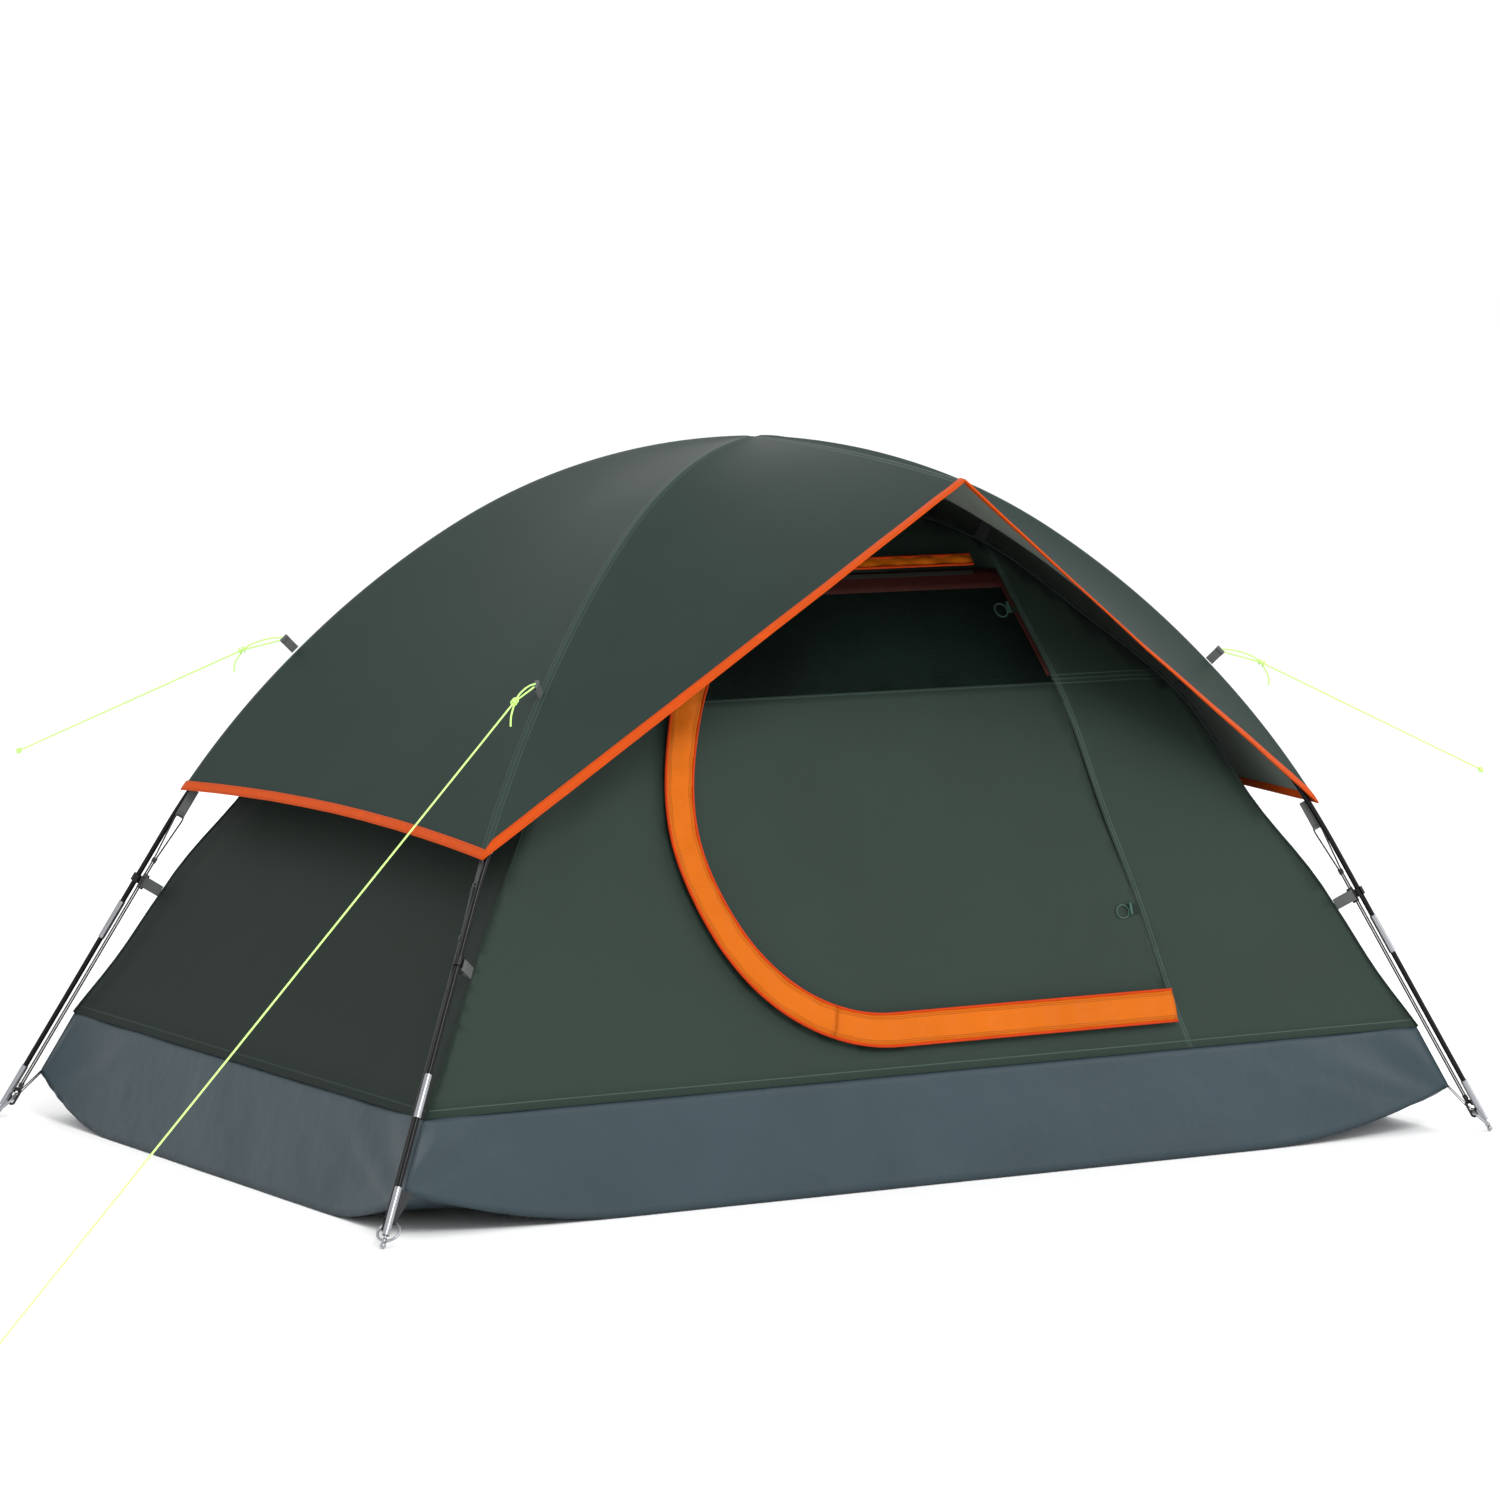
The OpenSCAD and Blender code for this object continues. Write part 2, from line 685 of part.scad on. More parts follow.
module hook(sx, sy) {
    turn = atan2(cos(ring_turn), -sin(ring_turn) * ring_in[0]) - 90;
    color("#101113")
        corner(sx, sy)
            at_foot()
                translate([hook_xz[0], hook_y, hook_xz[1]])
                    rotate([0, 0, turn])
                        difference() {
                            hook_plate(7, hook_top, hook_low, 3.6);
                            hook_plate(3.4, hook_top + 3.6, hook_low - 0.6, 7);
                            translate([-9, -4, hook_top + 9]) cube([9, 8, 6]);
                        }
}
module hook_plate(half, top, low, t) {
    for (z = [top + 3.2, low - 3.2 + 0.1])
        translate([0, 0, z]) rotate([90, 0, 0]) cylinder(h = t, r = half, center = true);
    translate([-half, -t / 2, top + 3.2]) cube([2 * half, t, low - top - 6.4]);
}

// ---------- guy lines ----------
guy_front_left = [[-770, -470, 838], [-900, -555, 765], [-1100, -686, 653], [-1300, -817, 541],
    [-1500, -948, 430], [-1700, -1079, 319], [-1900, -1210, 208], [-2100, -1341, 97], [-2230, -1426, 26]];
guy_back_left = [[-770, 470, 838], [-900, 555, 765], [-1000, 620, 709], [-1100, 686, 653]];
guy_right = [[770, -470, 838], [900, -555, 765], [1000, -620, 709], [1100, -686, 653]];
module guyline_front_left() {
    color("#b9e86a") tube(guy_front_left, guy_d / 2);
}
module guyline_back_left() {
    color("#b9e86a") tube(guy_back_left, guy_d / 2);
}
module guyline_right() {
    color("#b9e86a") tube(guy_right, guy_d / 2);
}
module guyline_knots() {
    color("#b9e86a")
        for (path = [guy_front_left, guy_back_left, guy_right])
            for (i = [0, len(path) - 1])
                translate(path[i] + (i == 0 ? -5.5 : 5.5) * path_dir(path, i)) sphere(r = 5);
}

// ---------- inner tent ----------
module each_end_wall() {
    zs = steps(wall_top, tub_h + 1.5, 16);
    sheet([
        for (z = zs)
            let (reach = ky * inner_r(z) - edge)
            [for (u = [-1, 1]) end_pt(u * reach, z, 0, inner_line)]
    ], fabric_t);
}
module right_wall() {
    color("#33433b") each_end_wall();
}
module left_wall() {
    color("#33433b") mirror([1, 0, 0]) each_end_wall();
}
function wide(z) = kx * inner_r(z) - edge;
function strip(zs, left, right, out = 0) = [
    for (i = [0:len(zs) - 1])
        [for (u = steps(0, 1, 2)) front_pt(mix(left[i], right[i], u), zs[i], out, inner_line)]
];
module back_wall() {
    zs = steps(wall_top, tub_h + 1.5, 16);
    color("#33433b")
        mirror([0, 1, 0])
            sheet(strip(zs, [for (z = zs) -wide(z)], [for (z = zs) wide(z)]), fabric_t);
}

// The door's outline from the run's end, round its lower and upper curves, to the top's end
low_r = door_mid - door_low;
top_r = door_top - door_mid;
low_x = -door_left + low_r;
top_x = -door_left + top_r;
function hinge_x(z) = hinge_top_x + hinge_lean * (door_top - z);
run_end = hinge_x(door_low) - 8;
top_end = hinge_top_x - 50;
function low_arc(a, inset) = [low_x - (low_r - inset) * sin(a), door_mid - (low_r - inset) * cos(a)];
function top_arc(a, inset) = [top_x - (top_r - inset) * cos(a), door_mid + (top_r - inset) * sin(a)];
function outline(a0, a1, inset) = [for (a = [a0:5:a1]) a < 90 ? low_arc(a, inset) : top_arc(a - 90, inset)];
function door_low_rows(inset) = [for (a = [0:10:80]) low_arc(a, inset)];
mesh_turn = asin((mesh_low - door_mid) / (top_r - zip_in));
function band(a, b, out) = [
    for (i = [len(a) - 1:-1:0])
        [for (u = [0, 1]) let (p = mix(a[i], b[i], u)) front_pt(p[0], p[1], out, inner_line)]
];
hole_in = zip_in - 1;
cloth_in = zip_in + 1;
left_rows = concat(
    [for (a = [90:-10:10]) top_arc(a, hole_in)],
    [for (a = [90:-10:0]) low_arc(a, hole_in)]
);
module front_wall() {
    top_zs = steps(wall_top, door_top - hole_in + 1, 4);
    low_zs = steps(door_low + hole_in - 1, tub_h + 1.5, 2);
    side_zs = steps(door_top - hole_in, door_low + hole_in, 12);
    left_zs = [for (p = left_rows) p[1]];
    color("#33433b") {
        sheet(strip(top_zs, [for (z = top_zs) -wide(z)], [for (z = top_zs) wide(z)]), fabric_t);
        sheet(strip(low_zs, [for (z = low_zs) -wide(z)], [for (z = low_zs) wide(z)]), fabric_t);
        sheet(strip(side_zs, [for (z = side_zs) hinge_x(z) + 1], [for (z = side_zs) wide(z)]), fabric_t);
        sheet(strip(left_zs, [for (z = left_zs) -wide(z)], [for (p = left_rows) p[0]]), fabric_t);
    }
}
door_rows = concat(
    [for (q = [3:-1:1]) top_arc(mesh_turn * q / 3, cloth_in)],
    [for (a = [90:-10:0]) low_arc(a, cloth_in)]
);
module door_panel() {
    zs = [for (p = door_rows) p[1]];
    color("#37473f")
        sheet(strip(zs, [for (p = door_rows) p[0]], [for (z = zs) hinge_x(z) - 1]), fabric_t);
}
module door_mesh() {
    rows = [for (q = steps(90, mesh_turn + 0.4, 8)) top_arc(q, cloth_in)];
    zs = [for (p = rows) p[1]];
    color("#0c1512")
        sheet(strip(zs, [for (p = rows) p[0]], [for (z = zs) hinge_x(z) - 1]), fabric_t);
}
side_from = 20;
side_to = 130;
flap_t = 1.6;
flap_out = flap_rise + fabric_t / 2;
module door_flap_side() {
    color("#e0741a")
        sheet(band(outline(side_from, side_to, 0), outline(side_from, side_to, flap_w), flap_out), flap_t);
}
module door_flap_run() {
    low_a = concat([[run_end, door_low]], outline(0, side_from, 0));
    low_b = concat([[run_end, door_low + flap_w]], outline(0, side_from, flap_w));
    top_a = concat(outline(side_to, 180, 0), [[top_end, door_top]]);
    top_b = concat(outline(side_to, 180, flap_w), [[top_end, door_top - flap_w]]);
    cut = [1, 0];
    color("#e0741a") {
        sheet(band([for (i = [0:len(low_a) - 1]) low_a[i] + (i == len(low_a) - 1 ? cut : [0, 0])],
            [for (i = [0:len(low_b) - 1]) low_b[i] + (i == len(low_b) - 1 ? cut : [0, 0])], flap_out), flap_t);
        sheet(band([for (i = [0:len(top_a) - 1]) top_a[i] + (i == 0 ? cut : [0, 0])],
            [for (i = [0:len(top_b) - 1]) top_b[i] + (i == 0 ? cut : [0, 0])], flap_out), flap_t);
    }
}
chain_t = 2;
chain_out = fabric_t / 2 + 0.9 + chain_t / 2;
module zip_chain() {
    lo = zip_in - zip_w / 2;
    hi = zip_in + zip_w / 2;
    color("#1d221f")
        sheet(band(
            concat([[run_end - 4, door_low + lo]], outline(0, 180, lo), [[top_end, door_top - lo]]),
            concat([[run_end - 4, door_low + hi]], outline(0, 180, hi), [[top_end, door_top - hi]]),
            chain_out), chain_t);
}

// Parts that sit on the front wall: -Y out of the wall, +Z up the wall
module on_wall(x, z) {
    translate(front_pt(x, z, 0, inner_line)) rotate([-wall_tilt(z), 0, 0]) children();
}
slider_x = run_end - 20;
slider_z = door_low + zip_in;
chain_face = chain_out + chain_t / 2;
lug_out = chain_face + 4.4;
lug_r = 2.1;
pull_r = 1;
module zip_slider() {
    color("#9a9ea1")
        on_wall(slider_x, slider_z)
            difference() {
                union() {
                    translate([-6, -chain_face - 2, -zip_w / 2 - 2]) cube([12, chain_face + 2 - 1.4, zip_w + 4]);
                    translate([0, -lug_out, 0]) rotate([0, 90, 0]) cylinder(h = 3, r = lug_r, center = true);
                    translate([-1.5, -lug_out, -lug_r]) cube([3, lug_out - chain_face - 1, 2 * lug_r]);
                }
                translate([-8, -chain_face - 0.4, -zip_w / 2 - 0.4]) cube([16, chain_face + 1, zip_w + 0.8]);
                translate([0, -lug_out, 0])
                    rotate([0, 90, 0])
                        cylinder(h = 5, r = pull_r + fit / 2, center = true);
            }
}
module zip_puller() {
    color("#2a2c2e")
        on_wall(slider_x, slider_z)
            translate([0, -lug_out, 0]) {
                rotate([0, 90, 0]) cylinder(h = 7, r = pull_r, center = true);
                for (side = [-1, 1])
                    translate([side * 2.9 - 0.9, -pull_r, -4]) cube([1.8, 2 * pull_r, 4]);
                translate([-3.8, -pull_r, -19]) cube([7.6, 2 * pull_r, 16]);
            }
}
upper_toggle_z = 935;
lower_toggle_z = 425;
tab_reach = 20;
tab_w = 16;
loop_bow = 12;
tab_face = fabric_t / 2 + 0.4;
toggle_out = tab_face + 1.4 + 3.4;
module toggle(z) {
    color("#12231c")
        on_wall(hinge_x(z) - tab_reach, z) {
            translate([0, -tab_face - 0.2, 0]) rotate([90, 0, 0]) cylinder(h = toggle_out - tab_face - 1, r = 1.2);
            translate([0, -toggle_out, 0]) cylinder(h = 17, r = 2.5, center = true);
            for (side = [-1, 1])
                translate([0, -toggle_out, side * 8.5]) sphere(r = 2.8);
        }
}
module toggle_upper() {
    toggle(upper_toggle_z);
}
module toggle_lower() {
    toggle(lower_toggle_z);
}
// Webbing tabs at the hinge seam, each with its elastic loop
module toggle_loops() {
    color("#2c5a48")
        for (z = [upper_toggle_z, lower_toggle_z])
            on_wall(hinge_x(z) - tab_reach, z)
                rotate([90, 0, 0])
                    translate([0, 0, tab_face])
                        difference() {
                            union() {
                                translate([-3, -tab_w / 2]) cube([tab_reach, tab_w, 1.4]);
                                translate([-loop_bow - 4, -3, 0.7])
                                    rotate_extrude()
                                        translate([loop_bow, 0])
                                            intersection() {
                                                circle(r = 1.2, $fn = 24);
                                                translate([-2, -0.7]) square([4, 1.4]);
                                            }
                            }
                            translate([0, 0, -1]) cylinder(h = 4, r = 1.6);
                        }
}

// ---------- floor ----------
tub_cols = 8;
tub_steps = 5;
// A wall of the tub runs from the seam (0) to the ground (1), and its ends lift to the poles.
function tub_corner(v, out) =
    let (
        seam = [kx * inner_r(tub_h), ky * inner_r(tub_h), tub_h],
        low = [floor_x / 2, floor_y / 2, corner_lift],
        p = mix(seam, low, v)
    )
    [p[0] - out, p[1] - out, p[2]];
function lift(u) = pow(max(0, 1 - 5 * min(u, 1 - u)), 2);
function tub_height(u, v) = mix(mix(tub_h, tub_t / 2, v), mix(tub_h, corner_lift, v), lift(u));
function tub_rows(x_side) = [
    for (v = steps(0, 1, tub_steps))
        let (p = tub_corner(v, 0), reach = (x_side ? p[1] : p[0]) - edge)
        [
            for (u = steps(0, 1, tub_cols))
                x_side
                    ? [p[0], mix(-reach, reach, u), tub_height(u, v)]
                    : [mix(-reach, reach, u), -p[1], tub_height(u, v)]
        ]
];
function floor_height(u, v) = mix(tub_t / 2, corner_lift - edge, lift(u) * lift(v));
module floor_tub() {
    reach_x = floor_x / 2 - edge;
    reach_y = floor_y / 2 - edge;
    color("#4a5b66") {
        for (side = [0, 1]) {
            mirror([0, side, 0]) sheet(tub_rows(false), tub_t);
            mirror([side, 0, 0]) sheet(tub_rows(true), tub_t);
        }
        sheet([
            for (v = steps(0, 1, tub_cols))
                [
                    for (u = steps(0, 1, tub_cols))
                        [mix(-reach_x, reach_x, u), mix(reach_y, -reach_y, v), floor_height(u, v)]
                ]
        ], tub_t);
    }
}

under_pole_rods();
over_pole_rods();
pole_ferrules();
pole_shock_cords();
pole_end_tubes();
foot_pins();
ring(-1, -1);  // ring_front_left
ring(1, -1);  // ring_front_right
ring(-1, 1);  // ring_back_left
ring(1, 1);  // ring_back_right
corner_webbing();
clip(-1, -1);  // clip_front_left
clip(1, -1);  // clip_front_right
clip(-1, 1);  // clip_back_left
clip(1, 1);  // clip_back_right
clip_tab(-1, -1);  // clip_tab_front_left
clip_tab(1, -1);  // clip_tab_front_right
clip_tab(-1, 1);  // clip_tab_back_left
clip_tab(1, 1);  // clip_tab_back_right
pole_straps();
apex_tie();
brow_rod();
brow_rod_pockets();
fly_left_panel();
fly_right_panel();
fly_back_panel();
fly_front_left_panel();
fly_front_right_panel();
fly_hem();
guy_tabs();
fly_corner_loops();
guyline_front_left();
guyline_back_left();
guyline_right();
guyline_knots();
elastic(-1, -1);  // elastic_front_left
elastic(1, -1);  // elastic_front_right
elastic(-1, 1);  // elastic_back_left
elastic(1, 1);  // elastic_back_right
hook(-1, -1);  // hook_front_left
hook(1, -1);  // hook_front_right
hook(-1, 1);  // hook_back_left
hook(1, 1);  // hook_back_right
floor_tub();
left_wall();
right_wall();
back_wall();
front_wall();
door_panel();
door_mesh();
door_flap_side();
door_flap_run();
zip_chain();
zip_slider();
zip_puller();
toggle_upper();
toggle_lower();
toggle_loops();
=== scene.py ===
"""A two-person dome tent: poles, part-length fly with a brow, inner tent with a door, tub and guy lines."""
import logging
import math
from dataclasses import dataclass, field
from enum import Enum
from typing import Any, Callable, Sequence

import bpy
import numpy as np
from mathutils import Matrix, Vector, noise
from mathutils.geometry import delaunay_2d_cdt


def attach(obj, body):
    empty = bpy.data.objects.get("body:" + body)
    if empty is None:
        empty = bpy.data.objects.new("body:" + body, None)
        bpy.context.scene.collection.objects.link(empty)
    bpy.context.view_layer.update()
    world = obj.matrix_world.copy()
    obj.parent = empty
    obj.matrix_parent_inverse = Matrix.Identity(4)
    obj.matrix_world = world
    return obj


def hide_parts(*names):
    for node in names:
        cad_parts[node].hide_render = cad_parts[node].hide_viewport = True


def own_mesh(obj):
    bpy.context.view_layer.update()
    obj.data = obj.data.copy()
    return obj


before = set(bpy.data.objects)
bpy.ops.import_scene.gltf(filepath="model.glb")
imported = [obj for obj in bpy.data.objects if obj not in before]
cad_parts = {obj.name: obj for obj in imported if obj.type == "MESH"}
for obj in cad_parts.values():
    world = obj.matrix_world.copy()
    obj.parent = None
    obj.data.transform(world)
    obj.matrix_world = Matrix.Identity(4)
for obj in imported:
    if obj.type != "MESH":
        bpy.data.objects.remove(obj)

LOG = logging.getLogger("dome_tent")
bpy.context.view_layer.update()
TENT = "tent"
STRAP_BEVEL = 0.0003
WALL_PLY = 0.0014
DOOR_PLY = 0.0012
FLY_PLY = 0.0016
Colour = tuple[float, float, float]
Pair = tuple[float, float]


class Corner(Enum):
    """The four pole feet, as the signs of their x and y."""

    FRONT_LEFT = (-1, -1)
    FRONT_RIGHT = (1, -1)
    BACK_LEFT = (-1, 1)
    BACK_RIGHT = (1, 1)

    @property
    def label(self) -> str:
        """The corner's name as the parts use it."""
        return self.name.lower()


class Side(Enum):
    """The four faces of the tent."""

    FRONT = "front"
    RIGHT = "right"
    BACK = "back"
    LEFT = "left"


# ---------------------------------------------------------------- shape


@dataclass
class TentShape:
    """Sizes of the tent in metres, with the lines that its cloth follows."""

    half_x: float = 1.130
    half_y: float = 0.690
    peak: float = 1.203
    foot_slope: float = math.radians(60)
    crown_slope: float = math.radians(32)
    foot_len: float = 0.566
    foot_h: float = 0.020
    rod_r: float = 0.00475
    ferrule_r: float = 0.006
    tub_h: float = 0.188
    floor_x: float = 2.150
    floor_y: float = 1.310
    corner_lift: float = 0.080
    cloth_t: float = 0.002
    crown_gap: float = 0.060
    seam_gap: float = 0.024
    strap_s: Pair = (0.440, 0.906)
    clip_s: float = 1.400
    fly_s: float = 1.225
    fly_gap: float = 0.014
    brow_reach: float = 0.645
    brow_drop: float = 0.035
    brow_rod_r: float = 0.004
    end_arch: float = 0.018
    back_arch: float = 0.060
    door_left: float = 0.467
    door_low: float = 0.232
    door_top: float = 1.020
    door_mid: float = 0.605
    mesh_low: float = 0.812
    hinge_x0: float = 0.342
    hinge_lean: float = 0.2

    def __post_init__(self) -> None:
        """Work out the arcs of the poles and the tables of the cloth's lines."""
        self.diagonal = math.hypot(self.half_x, self.half_y)
        self.kx = self.half_x / self.diagonal
        self.ky = self.half_y / self.diagonal
        self.cross_rise = (self.rod_r + self.ferrule_r) / 2 + 0.0009
        self.crown_rise = self.cross_rise + self.ferrule_r + 0.0005 + 2 * self.brow_rod_r + 0.0026 + 0.0026
        self.full_s = self.bend_ends(self.peak)[1] + self.foot_len
        self.seam_s = self.full_s - (self.tub_h - self.foot_h) / math.sin(self.foot_slope)
        inner = sorted(self.beside(s, -self.hollow(s))[::-1] for s in np.arange(0, self.full_s, 0.02))
        outer = sorted(self.beside(s, self.fly_out(s))[::-1] for s in np.arange(0, self.fly_s + 0.061, 0.025))
        self.inner_table = (np.array([q[0] for q in inner]), np.array([q[1] for q in inner]))
        self.fly_table = (np.array([q[0] for q in outer]), np.array([q[1] for q in outer]))
        self.wall_top = self.peak - self.crown_gap - 0.006
        self.under_h = self.peak - self.cross_rise
        self.over_h = self.peak + self.cross_rise
        bend = self.brow_reach**2 / (2 * self.brow_drop)
        self.brow_bend = bend
        self.rod_axis_h = self.over_h + self.ferrule_r + 0.0005 + self.brow_rod_r
        self.brow_axis_r = bend - (self.brow_rod_r + 0.0005 + self.cloth_t / 2 + 0.0027)
        self.ridge_h = self.rod_axis_h + bend - self.brow_axis_r

    def radii(self, h: float) -> Pair:
        """Radii of a pole's crown arc and shoulder arc.

        Args:
            h: Height of the pole's axis at its top.

        Returns:
            The crown radius and the shoulder radius.
        """
        a, b = self.crown_slope, self.foot_slope
        a1, b1 = math.sin(a), math.sin(b) - math.sin(a)
        a2, b2 = 1 - math.cos(a), math.cos(a) - math.cos(b)
        c1 = self.diagonal - self.foot_len * math.cos(b)
        c2 = h - self.foot_h - self.foot_len * math.sin(b)
        det = a1 * b2 - a2 * b1
        return (c1 * b2 - c2 * b1) / det, (a1 * c2 - a2 * c1) / det

    def bend_ends(self, h: float) -> Pair:
        """Distances along a pole where its crown arc and its shoulder arc end."""
        r1, r2 = self.radii(h)
        crown = r1 * self.crown_slope
        return crown, crown + r2 * (self.foot_slope - self.crown_slope)

    def slope(self, s: float, h: float = 0.0) -> float:
        """Slope of a pole at distance s from its top, in radians."""
        h = h or self.peak
        r1, r2 = self.radii(h)
        crown, bent = self.bend_ends(h)
        if s < crown:
            return s / r1
        if s < bent:
            return self.crown_slope + (s - crown) / r2
        return self.foot_slope

    def pole_at(self, s: float, h: float = 0.0) -> Pair:
        """Point of a pole's axis as reach outwards and height."""
        h = h or self.peak
        r1, r2 = self.radii(h)
        crown, bent = self.bend_ends(h)
        t = self.slope(s, h)
        if s < crown:
            return r1 * math.sin(t), h - r1 * (1 - math.cos(t))
        if s < bent:
            c = self.crown_slope
            return (
                (r1 - r2) * math.sin(c) + r2 * math.sin(t),
                h - r1 + (r1 - r2) * math.cos(c) + r2 * math.cos(t),
            )
        rest = bent + self.foot_len - s
        return self.diagonal - rest * math.cos(t), self.foot_h + rest * math.sin(t)

    def beside(self, s: float, out: float) -> Pair:
        """Point at a distance square to the pole, outwards where positive."""
        p, t = self.pole_at(s), self.slope(s)
        return p[0] + out * math.sin(t), p[1] + out * math.cos(t)

    def hollow(self, s: float) -> float:
        """Gap from a pole's axis to the inner tent's corner line."""
        hung = (
            (0.0, self.crown_gap, 0.004),
            (self.strap_s[0], self.crown_gap + 0.001, 0.010),
            (self.strap_s[1], self.crown_gap + 0.002, 0.024),
            (self.clip_s, 0.052, 0.005),
            (self.seam_s, self.seam_gap, 0.0),
        )
        for near, far in zip(hung, hung[1:]):
            if s <= far[0]:
                q = (s - near[0]) / (far[0] - near[0])
                return near[1] + (far[1] - near[1]) * q + near[2] * math.sin(math.pi * q) ** 2
        return self.seam_gap

    def fly_out(self, s: float) -> float:
        """Gap from a pole's axis to the fly's ridge."""
        return self.fly_gap + (self.crown_rise - self.fly_gap) * max(0.0, 1 - s / 0.9)

    def inner_r(self, z: float) -> float:
        """Reach of the inner tent's corner line at a height."""
        return float(np.interp(z, *self.inner_table))

    def fall(self, z: float) -> float:
        """How fast the inner tent's corner line comes in with height."""
        return (self.inner_r(z - 0.004) - self.inner_r(z + 0.004)) / 0.008

    def front_pt(self, x: float, z: float, out: float = 0.0) -> Vector:
        """Point of the inner tent's front wall, moved outwards by out."""
        m = self.ky * self.fall(z)
        n = math.hypot(1, m)
        return Vector((x, -self.ky * self.inner_r(z) - out / n, z + out * m / n))

    def end_pt(self, y: float, z: float, out: float = 0.0) -> Vector:
        """Point of the inner tent's right wall, moved outwards by out."""
        m = self.kx * self.fall(z)
        n = math.hypot(1, m)
        return Vector((self.kx * self.inner_r(z) + out / n, y, z + out * m / n))

    def hinge_x(self, z: float) -> float:
        """Where the door's hinge seam is at a height."""
        return self.hinge_x0 + self.hinge_lean * (self.door_top - z)

    def door_edge(self, turn: float, inset: float) -> Pair:
        """Point of the door's curved outline.

        Args:
            turn: From 0 at the foot of the lower curve to 180 at the top of the upper one, in degrees.
            inset: How far inside the outline.

        Returns:
            x and z on the front wall.
        """
        low_r, top_r = self.door_mid - self.door_low, self.door_top - self.door_mid
        if turn < 90:
            a = math.radians(turn)
            return (
                -self.door_left + low_r - (low_r - inset) * math.sin(a),
                self.door_mid - (low_r - inset) * math.cos(a),
            )
        a = math.radians(turn - 90)
        r = top_r - inset
        return -self.door_left + top_r - r * math.cos(a), self.door_mid + r * math.sin(a)

    def corner_pt(self, corner: Corner, reach: float, aside: float, z: float) -> Vector:
        """World point from a corner's own plane: reach outwards, aside square to it, and height."""
        sx, sy = corner.value
        return Vector((sx * (self.kx * reach + self.ky * aside), sy * (self.ky * reach - self.kx * aside), z))

    def on_pole(self, corner: Corner, s: float, p: Sequence[float], h: float = 0.0) -> Vector:
        """World point from a pole's own frame: inwards, aside, and down along the pole."""
        reach, high = self.pole_at(s, h)
        t = self.slope(s, h)
        return self.corner_pt(
            corner,
            reach - p[0] * math.sin(t) + p[2] * math.cos(t),
            p[1],
            high - p[0] * math.cos(t) - p[2] * math.sin(t),
        )

    def on_foot(self, corner: Corner, p: Sequence[float]) -> Vector:
        """World point from the frame of a pole's end: inwards, aside, and down along the pole."""
        t = self.foot_slope
        return self.corner_pt(
            corner,
            self.diagonal - p[0] * math.sin(t) + p[2] * math.cos(t),
            p[1],
            self.foot_h - p[0] * math.cos(t) - p[2] * math.sin(t),
        )


# ---------------------------------------------------------------- materials


class Wire:
    """A value in a node tree, with arithmetic that adds Math nodes."""

    def __init__(self, paint: "Paint", socket: Any) -> None:
        """Keep the tree's builder and the socket."""
        self.paint = paint
        self.socket = socket

    def math(self, operation: str, *others: "Wire | float", first: bool = True) -> "Wire":
        """Combine with other values by one Math node."""
        values: list[Any] = [self, *others] if first else [*others, self]
        return self.paint.add("ShaderNodeMath", {"operation": operation}, dict(enumerate(values)))

    def __add__(self, other: "Wire | float") -> "Wire":
        """Sum."""
        return self.math("ADD", other)

    def __sub__(self, other: "Wire | float") -> "Wire":
        """Difference."""
        return self.math("SUBTRACT", other)

    def __mul__(self, other: "Wire | float") -> "Wire":
        """Product."""
        return self.math("MULTIPLY", other)

    def __rsub__(self, other: float) -> "Wire":
        """Difference from a number."""
        return self.math("SUBTRACT", other, first=False)

    __radd__ = __add__
    __rmul__ = __mul__

    def near(self, centre: float, half: float) -> "Wire":
        """1 within half of a centre, 0 elsewhere."""
        return (self - centre).math("ABSOLUTE").math("LESS_THAN", half)

    def ramp(self, low: float, high: float) -> "Wire":
        """Smooth 0 to 1 between two values."""
        inputs = {"Value": self, "From Min": low, "From Max": high}
        return self.paint.add("ShaderNodeMapRange", {"interpolation_type": "SMOOTHSTEP"}, inputs)


